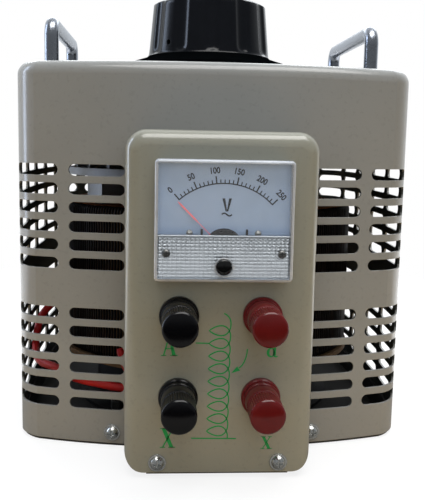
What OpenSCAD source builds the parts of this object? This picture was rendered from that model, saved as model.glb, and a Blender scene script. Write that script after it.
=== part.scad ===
// Bench variable transformer: a ring-core winding with a turning brush under a slotted steel casing,
// with a meter and four binding posts on a box at the front. Millimetres, front towards -Y, +Z up,
// origin on the shaft axis at the underside of the base plate.

/* [Casing] */
// Width of the casing across its bowed sides
casing_w = 219; // [210:1:232]
// Depth of the casing across its bowed front and back
casing_d = 219; // [210:1:232]
// Height of the casing shell
casing_h = 202; // [195:1:225]
// Sheet thickness of the casing
casing_wall = 1.2; // [0.8:0.1:1.8]
// Plan radius of the bowed front and back
front_bow_r = 305; // [270:5:400]
// Plan radius of the bowed sides
side_bow_r = 900; // [600:10:1400]
// Plan radius of the upright corners
corner_r = 22; // [16:1:28]
// Radius of the rounded top rim
rim_r = 7; // [4:0.5:10]

/* [Ventilation slots] */
// Length of a slot along the wall
slot_len = 30; // [20:1:32]
// Height of a slot
slot_h = 6; // [4:0.2:7]
// Web between neighbouring columns of slots
slot_gap = 6; // [5:0.5:10]
// Spacing of the rows in one band
slot_pitch = 9.8; // [9:0.1:11]
// Rows of slots in each of the two bands
slot_rows = 6; // [3:1:6]
// Columns of slots on each half of the casing
slot_cols = 9; // [4:1:9]
// Distance along the wall from the front centre to the first column
slot_first = 48; // [47:0.5:56]
// Height of the lowest row above the table
slot_low_z = 22.9; // [20:0.1:30]
// Distance from the top row of the lower band to the low row of the upper band
slot_band_gap = 26.6; // [20:0.2:32]

/* [Base] */
// Sheet thickness of the base plate
base_t = 1.5; // [1:0.1:2.5]
// Height of the base plate's turned-up rim
base_rim_h = 14; // [11:1:16]
// Gap between the base rim and the inside of the casing
base_fit = 0.2; // [0.1:0.05:0.5]
// Gap between the base plate and the casing's lower edge
casing_seat = 0.1; // [0.05:0.05:0.5]

/* [Front panel] */
// Width of the panel box
panel_w = 92; // [84:1:94]
// Height of the panel's lower edge above the table
panel_z0 = 2.5; // [2:0.1:5]
// Height of the panel's upper edge above the table
panel_z1 = 168.3; // [160:0.5:180]
// Distance of the panel's face from the front of the casing
panel_box = 35.5; // [32:0.5:45]
// Sheet thickness of the panel
panel_wall = 1.2; // [0.8:0.1:1.8]
// Radius of the panel's rounded front edges
panel_edge_r = 7; // [4:0.5:9]
// Radius of the panel's corners in front view
panel_corner_r = 10; // [9.5:0.5:14]
// Gap where the panel meets the bowed casing
panel_seat = 0.15; // [0.05:0.05:0.5]
// Width of the opening in the casing behind the panel
window_w = 60; // [58:1:70]

/* [Sheet screws] */
// Radius of a sheet screw's shank
screw_r = 2; // [1.5:0.1:2.4]
// Radius of a sheet screw's head
screw_head_r = 3.5; // [3:0.1:4]
// Height of a sheet screw's domed head
screw_head_h = 2.5; // [1.8:0.1:3]
// Radius of the washers under the screw heads
washer_r = 4.3; // [4.1:0.1:5]
// Thickness of the washers
washer_t = 0.7; // [0.5:0.1:1.2]
// Spacing of the two panel screws
panel_screw_dx = 59.5; // [50:0.5:64]
// Spacing of the casing screws on the front and on the back
casing_screw_dx = 108; // [106:1:130]
// Height of the sheet screws above the table
screw_z = 7.6; // [7:0.1:9]

/* [Ring core and winding] */
// Outer radius of the laminated ring core
core_r_out = 89.5; // [84:0.5:91]
// Inner radius of the core
core_r_in = 62; // [60:0.5:70]
// Height of the core
core_h = 81.4; // [74:0.2:84]
// Thickness of the insulating channels on the core
insulation_t = 1.5; // [1:0.1:2]
// Side of the winding wire
wire_d = 1.5; // [1.1:0.1:1.6]
// Number of turns
turns = 180; // [60:4:184]
// Angle covered by the winding
winding_arc = 330; // [320:1:335]
// Gap between core, insulation and wire
winding_fit = 0.2; // [0.1:0.05:0.4]
// Thickness of the board under the winding
pad_t = 3; // [2:0.5:5]
// Thickness of the clamp plate on the winding
clamp_t = 4; // [3:0.5:5]
// Radius of the clamp plate
clamp_r = 68; // [66:0.5:70]
// Radius of the circle of clamp rods
rod_circle_r = 46; // [45:0.5:48]
// Radius of a clamp rod
rod_r = 3; // [2.5:0.25:3.5]
// Height of the pressed stand's top above the table
stand_z = 35.5; // [33:0.5:38]
// Outer radius of the stand
stand_r = 70; // [66:1:74]
// Sheet thickness of the stand
stand_t = 2; // [1.5:0.1:3]

/* [Shaft and brush gear] */
// Radius of the shaft
shaft_r = 6; // [5:0.25:6.5]
// Running clearance of the shaft in its bushes
shaft_fit = 0.04; // [0.02:0.01:0.08]
// Radius of the hub that carries the brush arm
hub_r = 18; // [17.5:0.5:20]
// Height of the brush arm's underside above the clamp plate
arm_lift = 12; // [11:0.5:15]
// Thickness of the brush arm
arm_t = 4.5; // [3:0.5:6]
// Radius reached by the brush arm
arm_r = 89; // [88:0.5:92]
// Half the angle of the brush arm
arm_half_angle = 25; // [18:1:28]
// Radius of the brush track
brush_r = 80; // [78.5:0.5:81]
// Radial width of the brush
brush_w = 10; // [7:0.5:11]
// Width of the brush along its track
brush_l = 8; // [6:0.5:9]
// Gap between the brush and its holder
brush_fit = 0.2; // [0.1:0.05:0.4]
// Direction of the brush arm as drawn
arm_angle = -140; // [-160:1:-115]
// Angle between a travel stop and the middle of the winding's gap
stop_angle = 20; // [18:0.5:22]

/* [Knob] */
// Radius of the knob's skirt
skirt_r = 55.5; // [50:0.5:58]
// Radius of the knob's body at its foot
knob_r = 38.2; // [36:0.1:40]
// Radius of the knob's body at its shoulder
knob_top_r = 35.4; // [32:0.1:36]
// Height of the knob
knob_h = 45; // [43:0.5:60]
// Height of the skirt
skirt_h = 10; // [9:0.5:16]
// Gap between the casing's top and the knob
knob_gap = 3; // [2:0.5:6]
// Number of flutes
flutes = 12; // [8:1:16]
// Depth of a flute
flute_depth = 1.6; // [0.8:0.1:2.5]

/* [Handles] */
// Distance of a handle from the side of the casing
handle_inset = 17.3; // [16.5:0.1:22]
// Length between a handle's legs
handle_len = 100; // [85:1:104]
// Height of the grip's axis above the casing
handle_h = 25; // [22:0.5:35]
// Radius of the handle's rod
handle_r = 4; // [3.5:0.1:4.6]
// Bend radius of the handle's rod
handle_bend = 7; // [5.5:0.5:10]
// Radius of the threaded ends of a handle
handle_stud_r = 2.5; // [2:0.25:3]

/* [Meter] */
// Width of the meter's front
meter_w = 64; // [62:1:68]
// Height of the meter's front
meter_h = 56; // [54:1:60]
// Height of the meter's centre above the table
meter_z = 127; // [125:0.5:130]
// Projection of the meter's clear cover
meter_out = 12; // [11.5:0.1:14]
// Wall of the clear cover
cover_wall = 1.5; // [1:0.1:1.8]
// Radius of the drum behind the panel
drum_r = 24; // [22:0.5:25]
// Depth of the drum behind the panel's face
drum_depth = 30; // [26:0.5:31]
// Drop of the pointer's pivot below the meter's centre
pivot_drop = 12.8; // [12:0.1:13.2]
// Length of the pointer from its pivot
pointer_len = 29.5; // [20:0.5:30]
// Drop of the dial's lower edge below the meter's centre
mask_drop = 6.3; // [5:0.1:8]

/* [Binding posts] */
// Spacing of the posts across the panel
post_dx = 40; // [38:0.5:42]
// Spacing of the posts up the panel
post_dz = 40; // [36:0.5:40.5]
// Height of the lower posts above the table
post_z = 40.8; // [39:0.2:42]
// Radius of a post's flange
flange_r = 9.5; // [9:0.1:10.5]
// Height of the moulded post base in front of the panel
post_base_h = 6.2; // [5:0.1:8]
// Radius of a post's knurled cap
cap_r = 8.2; // [7.8:0.1:8.6]
// Length of a cap
cap_len = 23.5; // [19:0.5:28]
// Ridges round a cap
cap_ridges = 36; // [24:2:48]
// Radius of a post's brass stud
stud_r = 3; // [2.5:0.1:3.4]
// Running clearance of the caps and their inserts
post_fit = 0.05; // [0.02:0.01:0.08]

/* [Hidden] */
$fn = 48;
bow_fn = 360;
far = 400;
paint = [0.62, 0.60, 0.55];
panel_paint = [0.66, 0.64, 0.56];
steel = [0.70, 0.71, 0.72];
brass = [0.78, 0.63, 0.30];
board = [0.55, 0.40, 0.24];
bakelite = [0.08, 0.08, 0.09];
post_black = [0.06, 0.06, 0.06];
post_red = [0.45, 0.05, 0.06];
half_w = casing_w / 2;
half_d = casing_d / 2;
handle_x = half_w - handle_inset;
casing_z = base_t + casing_seat;
casing_top = casing_z + casing_h;
slot_half_chord_reach = corner_r / 2;
slot_depth_in = casing_wall + 3;
rim_inset = casing_wall + base_fit;
screw_len = 7;
screw_hole = 12;

// Centre of the front right corner: where the front's and the side's inner circles meet.
front_c = [0, front_bow_r - half_d];
side_c = [half_w - side_bow_r, 0];
front_in = front_bow_r - corner_r;
side_in = side_bow_r - corner_r;
centre_gap = side_c - front_c;
centre_dist = norm(centre_gap);
along = (front_in ^ 2 - side_in ^ 2 + centre_dist ^ 2) / (2 * centre_dist);
across = sqrt(front_in ^ 2 - along ^ 2);
corner_c = front_c + along * centre_gap / centre_dist
  + across * [-centre_gap.y, centre_gap.x] / centre_dist;
front_half_angle = asin(corner_c.x / front_in);
side_half_angle = asin(-corner_c.y / side_in);
corner_angle = 90 - front_half_angle - side_half_angle;
front_dir = [sin(front_half_angle), -cos(front_half_angle)];
side_dir = [cos(side_half_angle), -sin(side_half_angle)];
corner_shift = 0.5 * [cos(45), -sin(45)];
front_arc = front_bow_r * front_half_angle * PI / 180;
corner_arc = corner_r * corner_angle * PI / 180;
side_arc = side_bow_r * side_half_angle * PI / 180;
quarter = front_arc + corner_arc + side_arc;

panel_y = -half_d - panel_box;
panel_flat = panel_edge_r;
lip_h = screw_z + screw_head_r + 1.5;
tongue_half_w = panel_w / 2 - panel_corner_r - 1;
tongue_bend = base_t + 2.5;
tongue_lap = 15;
window_z0 = 16;
window_z1 = meter_z + drum_r + 4;

core_build = insulation_t + 2 * winding_fit + wire_d;
pad_z = stand_z;
winding_z0 = pad_z + pad_t;
winding_z1 = winding_z0 + core_h + 2 * core_build;
core_z0 = winding_z0 + core_build;
winding_r_out = core_r_out + core_build;
winding_r_in = core_r_in - core_build;
wire_bend = 2.5;
wire_bend_in = wire_bend - wire_d * (2 - sqrt(2));
channel_cut = wire_bend_in - winding_fit * (2 - sqrt(2));
clamp_z1 = winding_z1 + clamp_t;
nut_h = 5;
rod_clear = 0.3;
rod_tail = 3;
bush_wall = 3;
bush_r = shaft_r + bush_wall;
bush_lip = 5;
bush_flange_r = bush_r + bush_lip;
bush_flange_t = 3;
bush_len = 14;
bush_seat = 0.05;
bolt_clear = 0.1;
stand_flange_r = stand_r + 12;
weld_stud_r = 2.5;
weld_stud_circle_r = stand_r + 6;

hub_gap = 0.3;
hub_z = clamp_z1 + bush_flange_t + hub_gap;
arm_z = clamp_z1 + arm_lift;
spigot_r = hub_r - 7;
spigot_h = arm_t + 7;
press_gap = 0.03;
stop_r = 34;
stop_half_w = 8;
stop_depth = 10;
stop_margin = 0.25;
stop_pin_r = stop_r * sin(stop_angle) - stop_half_w - stop_margin;
stop_top_gap = 1;
pin_reach = 5.4;
gap_angle = -90;
fin_h = 9;
fin_t = 2.5;
brush_lift = 0.05;
brush_h = 11.5;
spring_r = 2.8;
spring_wire_r = 0.4;
holder_wall = 2.8;
holder_z = winding_z1 + 2;
blade_gap = 0.15;
collar_t = 5;
arm_screw_r = 1.5;
arm_screw_len = 6;
holder_screw_r = 1;
holder_screw_len = 5;

knob_z = casing_top + knob_gap;
knob_bore_h = 34;
knob_fit = 0.02;
flute_r = 9;
set_screw_r = 1.5;
set_screw_z = skirt_h + 6;
set_screw_angle = -133;
set_screw_len = 10;

cover_in = 0.3;
cover_corner_r = 2;
body_t = 2;
scale_z = 5;
plate_t = 0.8;
movement_r = 8.8;
movement_z1 = 6.5;
pointer_z = 7.1;
pointer_hub_h = 0.9;
staff_r = 0.6;
mask_z = meter_out - cover_wall - 1.9;
cover_screw_x = meter_w / 2 - 5.4;
cover_screw_drop = 14.7;
cover_screw_r = 1.25;
cover_screw_grip = 4;
zero_drop = 20.9;
zero_r = 2;
zero_head_r = 3.8;
meter_stud_x = 14;
meter_stud_r = 1.5;
meter_stud_len = 9;
meter_nut_h = 2.5;

spigot_post_r = stud_r + 2;
post_hole_r = spigot_post_r + 0.15;
insulator_t = 3;
insert_r = stud_r + 2;
cap_z = post_base_h + 0.3;
insert_len = 15;
lug_t = 1;
lug_r = 6;
lug_tail = 14;
lug_w = 5;
post_nut_r = 5.8;
rear_z = -panel_wall - insulator_t;

// Routes of the leads, chosen by hand, in the order that each lead runs from its post or stud. The places
// that they pass come from the posts, the meter, the casing's walls and the winding.
power_lead_r = 2.3;
meter_lead_r = 0.8;
post_x = post_dx / 2;
upper_z = post_z + post_dz;
lug_y = panel_y - rear_z + nut_h + lug_t;
lead_y = lug_y + 0.4;
tail_y = lug_y - lug_t / 2;
tail_z = post_z - lug_tail - 0.2;
front_wall = casing_wall - half_d;
side_wall = half_w - casing_wall;
over_z = clamp_z1 + power_lead_r + 0.2;
stud_y = panel_y + drum_depth + meter_stud_len;
gap_y = (panel_y + drum_depth - winding_r_out) / 2;
wire_end_r = winding_r_out + power_lead_r;
function ring_point(r, a, z) = [r * cos(a), r * sin(a), z];
// A route whose end stands square on a face behind the panel and runs back from it by a reach.
function square_end(p, reach, rest) =
  concat([p, [p.x + (rest[0].x - p.x) / 9, p.y + reach, p.z + (rest[0].z - p.z) / 9]], rest);
tap_lead = square_end([-post_x, lead_y, upper_z - 11.3], 4, [[-post_x - 1.5, lead_y + 10.4, upper_z - 23.8],
  [-post_x - 3.5, front_wall - 0.7, stand_z + 7.5], [-post_x - 16, front_wall + 7.8, stand_z - 2.5],
  [-post_x - 28, front_wall + 10.1, stand_z - 5], [-post_x - 41, front_wall + 11.3, stand_z - 3.3],
  [33.3 - side_wall, front_wall + 15.8, stand_z - 1.2], [20.8 - side_wall, front_wall + 30.3, stand_z + 0.2],
  [9.6 - side_wall, front_wall + 44.3, stand_z + 0.5], [4.6 - side_wall, front_wall + 62.3, stand_z + 3.5],
  [4.4 - side_wall, front_wall + 70.3, stand_z + 12.5], ring_point(winding_r_out + 12.7, 197.6, stand_z + 22),
  ring_point(wire_end_r, 196.5, stand_z + 31)]);
start_lead = square_end([-post_x, lead_y, post_z - 9.4], 4, [[-post_x - 1, lead_y + 11.4, post_z - 12.8],
  [-post_x - 3.5, front_wall - 0.7, post_z - 15.8], [-post_x - 13, front_wall + 7.3, post_z - 14.8],
  ring_point(winding_r_out + 7, 245, stand_z - 4.5), ring_point(winding_r_out + 4.5, 240, stand_z + 4.5),
  ring_point(wire_end_r, 237.5, stand_z + 11.5)]);
brush_lead = square_end([post_x, lead_y, upper_z - 11.3], 4, [[post_x - 3, lead_y + 10.4, upper_z - 9.8],
  [post_x - 8, gap_y - 9, upper_z + 3.2], [post_x - 12, gap_y - 1.5, upper_z + 23.2],
  [post_x - 13, gap_y + 1.5, winding_z1 - 4.7], [post_x - 12, 0.9 - winding_r_out, winding_z1 + 4.8],
  [11, -clamp_r - 10, over_z], [11.5, 10 - clamp_r, over_z], [11, -hub_r - 20, over_z],
  [10.5, -hub_r - 11, over_z + 1], [10, -hub_r - 4, over_z + 1.1]]);
half_link = [[post_x, tail_y, tail_z], [post_x - 0.4, tail_y + 0.1, tail_z - 2.8],
  [post_x - 3.6, tail_y + 0.9, tail_z - 6.4], [post_x - 12, tail_y + 2.3, tail_z - 8.2]];
link_lead = concat(half_link, [for (i = [3, 2, 1, 0]) [-half_link[i].x, half_link[i].y, half_link[i].z]]);
plus_lead = square_end([meter_stud_x, stud_y + 0.2, meter_z], 1.5,
  [[meter_stud_x + 2, stud_y + 3, meter_z - 5],
  [meter_stud_x + 11, stud_y - 3, meter_z - 25], [meter_stud_x + 15.5, stud_y - 15, upper_z + 7.2],
  [post_x + 10.5, lead_y + 4.6, upper_z - 4.8], [post_x + 8, tail_y + 0.3, upper_z - 11.3],
  [post_x + 2.8, tail_y, upper_z - 12.8]]);
minus_lead = square_end([-meter_stud_x, stud_y + 0.2, meter_z], 1.5,
  [[-meter_stud_x - 2, stud_y + 3, meter_z - 6],
  [8 - meter_stud_x, stud_y - 4, meter_z - 32], [16 - meter_stud_x, stud_y - 13, post_z + 21.2],
  [post_x - 13, lead_y + 5.6, post_z + 2.2], [post_x - 9.5, lead_y + 0.1, post_z - 7.8],
  [post_x - 2.8, tail_y, post_z - 10.8]]);

// Points on the casing's outline, measured along it from the front centre.
function front_point(s) = let (a = s / front_bow_r * 180 / PI)
  front_c + front_bow_r * [sin(a), -cos(a)];
function corner_point(s) = let (a = front_half_angle + s / corner_r * 180 / PI)
  corner_c + corner_r * [sin(a), -cos(a)];
function side_point(s) = let (a = s / side_bow_r * 180 / PI - side_half_angle)
  side_c + side_bow_r * [cos(a), sin(a)];
function outline_point(s) =
  s > quarter ? let (p = outline_point(2 * quarter - s)) [p.x, -p.y] :
  s < front_arc ? front_point(s) :
  s < front_arc + corner_arc ? corner_point(s - front_arc) : side_point(s - front_arc - corner_arc);
function front_y(x) = front_c.y - sqrt(front_bow_r ^ 2 - x ^ 2);

// Smooth curve through a route's points.
function blend_point(a, b, c, d, t) = 0.5 * (2 * b + (c - a) * t + (2 * a - 5 * b + 4 * c - d) * t ^ 2
  + (3 * b - a - 3 * c + d) * t ^ 3);
function smooth(pts, n) = let (m = len(pts) - 1)
  [for (i = [0:m - 1]) for (k = [0:n - 1])
    blend_point(pts[max(i - 1, 0)], pts[i], pts[i + 1], pts[min(i + 2, m)], k / n), pts[m]];
function unit(v) = v / norm(v);
function tangent(p, i) = unit(p[min(i + 1, len(p) - 1)] - p[max(i - 1, 0)]);
function ring_x(t, ref) = unit(cross(t, ref));

// Swept tube along a list of points, with its rings kept level to one direction.
module tube(p, r, sides = 8, ref = [0, 0, 1]) {
  n = len(p);
  pts = [for (i = [0:n - 1]) let (t = tangent(p, i), u = ring_x(t, ref), v = cross(t, u))
    for (k = [0:sides - 1]) p[i] + r * (cos(360 * k / sides) * u + sin(360 * k / sides) * v)];
  walls = [for (i = [0:n - 2]) for (k = [0:sides - 1])
    let (a = i * sides + k, b = i * sides + (k + 1) % sides) [a, b, b + sides, a + sides]];
  near_end = [for (k = [sides - 1:-1:0]) k];
  far_end = [for (k = [0:sides - 1]) (n - 1) * sides + k];
  polyhedron(pts, concat([near_end], walls, [far_end]));
}

// Fan of directions round the front right corner, from the end of the front to the start of the side.
module corner_fan() polygon([corner_c, corner_c + far * front_dir, corner_c + far * (front_dir + side_dir),
  corner_c + far * side_dir]);

// Casing outline in plan, set in by a distance.
module plan(inset) difference() {
  intersection() {
    translate(front_c) circle(r = front_bow_r - inset, $fn = bow_fn);
    translate(-front_c) circle(r = front_bow_r - inset, $fn = bow_fn);
    translate(side_c) circle(r = side_bow_r - inset, $fn = 2 * bow_fn);
    translate(-side_c) circle(r = side_bow_r - inset, $fn = 2 * bow_fn);
  }
  for (mx = [0, 1]) for (my = [0, 1]) mirror([mx, 0]) mirror([0, my]) difference() {
    corner_fan();
    translate(corner_c + corner_shift) circle(r = corner_r - inset);
  }
}

module quarter_ring(r, t) intersection() {
  difference() {
    circle(r = r);
    circle(r = r - t);
  }
  square(r);
}

module rounded_square(w, h, r) {
  square([w - 2 * r, h], center = true);
  square([w, h - 2 * r], center = true);
  for (x = [-1, 1]) for (y = [-1, 1]) translate([x * (w / 2 - r), y * (h / 2 - r)]) circle(r = r);
}

module hex_nut(r, bore, h) linear_extrude(h) difference() {
  circle(r = r, $fn = 6);
  circle(r = bore);
}

// Domed cross-head screw: the head stands on z = 0 and the shank points down.
module pan_screw(shank_r, head_r, head_h, shank_len) {
  dome_r = (head_r ^ 2 + head_h ^ 2) / (2 * head_h);
  translate([0, 0, -shank_len]) cylinder(r = shank_r, h = shank_len);
  difference() {
    rotate_extrude() intersection() {
      translate([0, head_h - dome_r]) circle(r = dome_r);
      square([head_r, head_h]);
    }
    for (a = [0, 90]) rotate([0, 0, a]) translate([-head_r * 0.55, -head_r * 0.13, head_h * 0.45])
      cube([head_r * 1.1, head_r * 0.26, head_h]);
  }
}

// Places children on the bowed front at a distance from its centre, +Z pointing out of the wall.
module on_front(x, z) translate([x, front_y(x), z]) rotate([90, 0, asin(x / front_bow_r)]) children();

module at_casing_screws() for (back = [0, 180]) rotate([0, 0, back])
  for (x = [-1, 1]) on_front(x * casing_screw_dx / 2, screw_z) children();

// Places children on the panel's face, +Z pointing out of it and +Y up.
module on_panel(x = 0, z = 0) translate([x, panel_y, z]) rotate([90, 0, 0]) children();

module at_panel_screws() for (x = [-1, 1]) on_panel(x * panel_screw_dx / 2, screw_z) children();

module at_posts(sides = [-1, 1]) for (s = sides) for (k = [0, 1])
  on_panel(s * post_dx / 2, post_z + k * post_dz) children();

module at_rods() for (a = [30:120:270]) rotate([0, 0, a]) translate([rod_circle_r, 0, 0]) children();

module at_handle_ends() for (x = [-1, 1]) for (y = [-1, 1])
  translate([x * handle_x, y * handle_len / 2, casing_top]) children();

// Quadrant with its corner at the origin rounded off.
module bent_corner(r, w, h) {
  translate([r, r]) circle(r = r);
  translate([r, 0]) square([w - r, h]);
  translate([0, r]) square([w, h - r]);
}

module base_plate() color([0.45, 0.46, 0.47]) difference() {
  union() {
    linear_extrude(base_t) plan(rim_inset);
    translate([0, 0, base_t]) linear_extrude(base_rim_h - base_t) difference() {
      plan(rim_inset);
      plan(rim_inset + base_t);
    }
    translate([-tongue_half_w, panel_y + panel_wall + panel_seat, 0]) rotate([90, 0, 90])
      linear_extrude(2 * tongue_half_w) difference() {
        bent_corner(tongue_bend, panel_box + tongue_lap, lip_h);
        translate([base_t, base_t]) bent_corner(tongue_bend - base_t, panel_box + tongue_lap, lip_h);
      }
    for (a = [45:90:315]) rotate([0, 0, a]) translate([weld_stud_circle_r, 0, base_t / 2])
      cylinder(r = weld_stud_r, h = base_t / 2 + stand_t + nut_h + 1.5);
  }
  at_casing_screws() translate([0, 0, -2 * screw_hole])
    cylinder(r = screw_r + bolt_clear, h = 2 * screw_hole);
  at_panel_screws() translate([0, 0, -screw_hole]) cylinder(r = screw_r + bolt_clear, h = screw_hole);
}

// Round solid with a rounded upper edge, whose wall is one arc of the casing.
module bowed_solid(r, top, edge_r) rotate_extrude() difference() {
  square([r, top]);
  translate([r - edge_r, top - edge_r]) difference() {
    square(edge_r + 1);
    circle(r = edge_r, $fn = 48);
  }
}

// Solid inside the casing's outline, set in by a distance all over.
module casing_solid(inset) difference() {
  top = casing_top - inset;
  edge_r = rim_r - inset;
  intersection() {
    translate(front_c) bowed_solid(front_bow_r - inset, top, edge_r, $fn = bow_fn);
    translate(-front_c) bowed_solid(front_bow_r - inset, top, edge_r, $fn = bow_fn);
    translate(side_c) bowed_solid(side_bow_r - inset, top, edge_r, $fn = 2 * bow_fn);
    translate(-side_c) bowed_solid(side_bow_r - inset, top, edge_r, $fn = 2 * bow_fn);
  }
  for (mx = [0, 1]) for (my = [0, 1]) mirror([mx, 0, 0]) mirror([0, my, 0]) difference() {
    translate([0, 0, -1]) linear_extrude(top + 2) corner_fan();
    translate(corner_c + corner_shift) translate([0, 0, -2]) bowed_solid(corner_r - inset, top + 2, edge_r);
  }
}

module casing_shell() difference() {
  casing_solid(0);
  casing_solid(casing_wall);
  translate([-far, -far, -far]) cube([2 * far, 2 * far, far + casing_z]);
}

module slot_outline(len) {
  square([len - slot_h, slot_h], center = true);
  for (x = [-1, 1]) translate([x * (len - slot_h) / 2, 0]) circle(d = slot_h);
}

// One column of slots, punched square to the chord between its two ends.
module slot_column(s) {
  p = outline_point(s);
  q = outline_point(s + slot_len);
  chord = q - p;
  translate((p + q) / 2) rotate([90, 0, atan2(chord.y, chord.x)]) translate([0, 0, -slot_depth_in])
    linear_extrude(slot_depth_in + slot_half_chord_reach)
      for (band = [0, 1]) for (row = [0:slot_rows - 1])
        translate([0, slot_low_z + row * slot_pitch + band * ((slot_rows - 1) * slot_pitch + slot_band_gap)])
          slot_outline(norm(chord));
}

module casing() color(paint) difference() {
  casing_shell();
  for (mx = [0, 1]) mirror([mx, 0, 0]) for (k = [0:slot_cols - 1])
    slot_column(slot_first + k * (slot_len + slot_gap));
  translate([-window_w / 2, -half_d - 1, window_z0]) cube([window_w, 6, window_z1 - window_z0]);
  translate([0, 0, casing_top - 2 * casing_wall]) cylinder(r = shaft_r + 2, h = 3 * casing_wall);
  at_handle_ends() translate([0, 0, -2 * casing_wall])
    cylinder(r = handle_stud_r + bolt_clear, h = 3 * casing_wall);
  at_casing_screws() translate([0, 0, -5]) cylinder(r = screw_r + bolt_clear, h = 10);
}

module panel_profile() {
  depth = panel_box + half_d;
  translate([-panel_wall, -depth]) square([panel_wall, depth - panel_edge_r]);
  translate([-panel_edge_r, -panel_edge_r]) quarter_ring(panel_edge_r, panel_wall);
}

// Drawn box, open at the back and below, in the panel's own frame.
module panel_shell() {
  half = panel_w / 2;
  straight = half - panel_corner_r;
  top = panel_z1 - panel_corner_r;
  for (mx = [0, 1]) mirror([mx, 0, 0]) {
    translate([half, top, 0]) rotate([90, 0, 0]) linear_extrude(top - panel_z0) panel_profile();
    translate([straight, top, 0]) rotate_extrude(angle = 90) translate([panel_corner_r, 0]) panel_profile();
  }
  translate([-straight, panel_z1, 0]) rotate([90, 0, 90]) linear_extrude(2 * straight) panel_profile();
  translate([0, 0, -panel_wall]) linear_extrude(panel_wall) {
    translate([-half + panel_edge_r, panel_z0]) square([2 * (half - panel_edge_r), top - panel_z0]);
    translate([-straight, top]) square([2 * straight, panel_corner_r - panel_edge_r]);
    for (x = [-1, 1]) translate([x * straight, top]) intersection() {
      circle(r = panel_corner_r - panel_edge_r);
      translate([x < 0 ? -panel_corner_r : 0, 0]) square(panel_corner_r);
    }
  }
}

module lower_corner_cut() for (x = [-1, 1])
  translate([x * (panel_w / 2 - panel_corner_r), panel_z0 + panel_corner_r, -far / 2]) linear_extrude(far)
    difference() {
      translate([x < 0 ? -2 * panel_corner_r : 0, -2 * panel_corner_r]) square(2 * panel_corner_r);
      circle(r = panel_corner_r);
    }

module front_panel() color(panel_paint) difference() {
  on_panel() difference() {
    panel_shell();
    lower_corner_cut();
  }
  translate([front_c.x, front_c.y, 0]) cylinder(r = front_bow_r + panel_seat, h = far, $fn = bow_fn);
  on_panel(0, meter_z) translate([0, 0, -2 * panel_wall]) cylinder(r = drum_r + 0.5, h = 3 * panel_wall);
  at_posts() translate([0, 0, -2 * panel_wall]) cylinder(r = post_hole_r, h = 3 * panel_wall);
  at_panel_screws() translate([0, 0, -2 * panel_wall]) cylinder(r = screw_r + bolt_clear, h = 3 * panel_wall);
}

module casing_screws() color(steel) at_casing_screws() translate([0, 0, washer_t])
  pan_screw(screw_r, screw_head_r, screw_head_h, washer_t + screw_len);

module panel_screws() color(steel) at_panel_screws() translate([0, 0, washer_t])
  pan_screw(screw_r, screw_head_r, screw_head_h, washer_t + screw_len);

module washer_ring() linear_extrude(washer_t) difference() {
  circle(r = washer_r);
  circle(r = screw_r + bolt_clear);
}

module screw_washers() color(steel) {
  at_casing_screws() washer_ring();
  at_panel_screws() washer_ring();
}

module core_stand() color([0.30, 0.31, 0.32]) difference() {
  rotate_extrude() polygon([[0, stand_z], [stand_r, stand_z], [stand_r, base_t + stand_t],
    [stand_flange_r, base_t + stand_t], [stand_flange_r, base_t], [stand_r - stand_t, base_t],
    [stand_r - stand_t, stand_z - stand_t], [0, stand_z - stand_t]]);
  translate([0, 0, stand_z - 2 * stand_t]) cylinder(r = bush_r + bush_seat, h = 3 * stand_t);
  at_rods() translate([0, 0, stand_z - 2 * stand_t]) cylinder(r = rod_r + rod_clear, h = 3 * stand_t);
  for (a = [45:90:315]) rotate([0, 0, a]) translate([weld_stud_circle_r, 0, 0])
    cylinder(r = weld_stud_r + bolt_clear, h = base_t + 2 * stand_t);
}

module stand_nuts() color(steel) for (a = [45:90:315]) rotate([0, 0, a])
  translate([weld_stud_circle_r, 0, base_t + stand_t]) hex_nut(4.6, weld_stud_r + bolt_clear, nut_h);

module lower_pad() color(board) translate([0, 0, pad_z]) difference() {
  cylinder(r = winding_r_out + 1, h = pad_t);
  translate([0, 0, -1]) cylinder(r = bush_flange_r + 1, h = pad_t + 2);
  at_rods() translate([0, 0, -1]) cylinder(r = rod_r + rod_clear, h = pad_t + 2);
}

module core() color([0.35, 0.36, 0.38]) rotate_extrude()
  translate([core_r_in, core_z0]) square([core_r_out - core_r_in, core_h]);

// Two channels that close over the core from above and below.
module core_insulation() color(board) {
  r0 = core_r_in - winding_fit;
  r1 = core_r_out + winding_fit;
  t = insulation_t;
  mid = core_z0 + core_h / 2;
  edge = mid - winding_fit / 2;
  low = core_z0 - winding_fit;
  for (up = [0, 1]) translate([0, 0, mid]) mirror([0, 0, up]) translate([0, 0, -mid])
    rotate_extrude() polygon([[r0 - t + channel_cut, low - t], [r1 + t - channel_cut, low - t],
      [r1 + t, low - t + channel_cut], [r1 + t, edge], [r1, edge], [r1, low], [r0, low], [r0, edge],
      [r0 - t, edge], [r0 - t, low - t + channel_cut]]);
}

function clipped_box(x0, y0, x1, y1, c) = [[x0 + c, y0], [x1 - c, y0], [x1, y0 + c], [x1, y1 - c],
  [x1 - c, y1], [x0 + c, y1], [x0, y1 - c], [x0, y0 + c]];

// One closed turn of square wire round the core's section.
module wire_turn() rotate([90, 0, 0]) translate([0, 0, -wire_d / 2]) linear_extrude(wire_d) difference() {
  polygon(clipped_box(winding_r_in, winding_z0, winding_r_out, winding_z1, wire_bend));
  polygon(clipped_box(winding_r_in + wire_d, winding_z0 + wire_d, winding_r_out - wire_d, winding_z1 - wire_d,
    wire_bend_in));
}

module winding() color([0.42, 0.22, 0.12]) for (i = [0:turns - 1])
  rotate([0, 0, gap_angle + 180 - winding_arc / 2 + i * winding_arc / (turns - 1)]) wire_turn();

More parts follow.
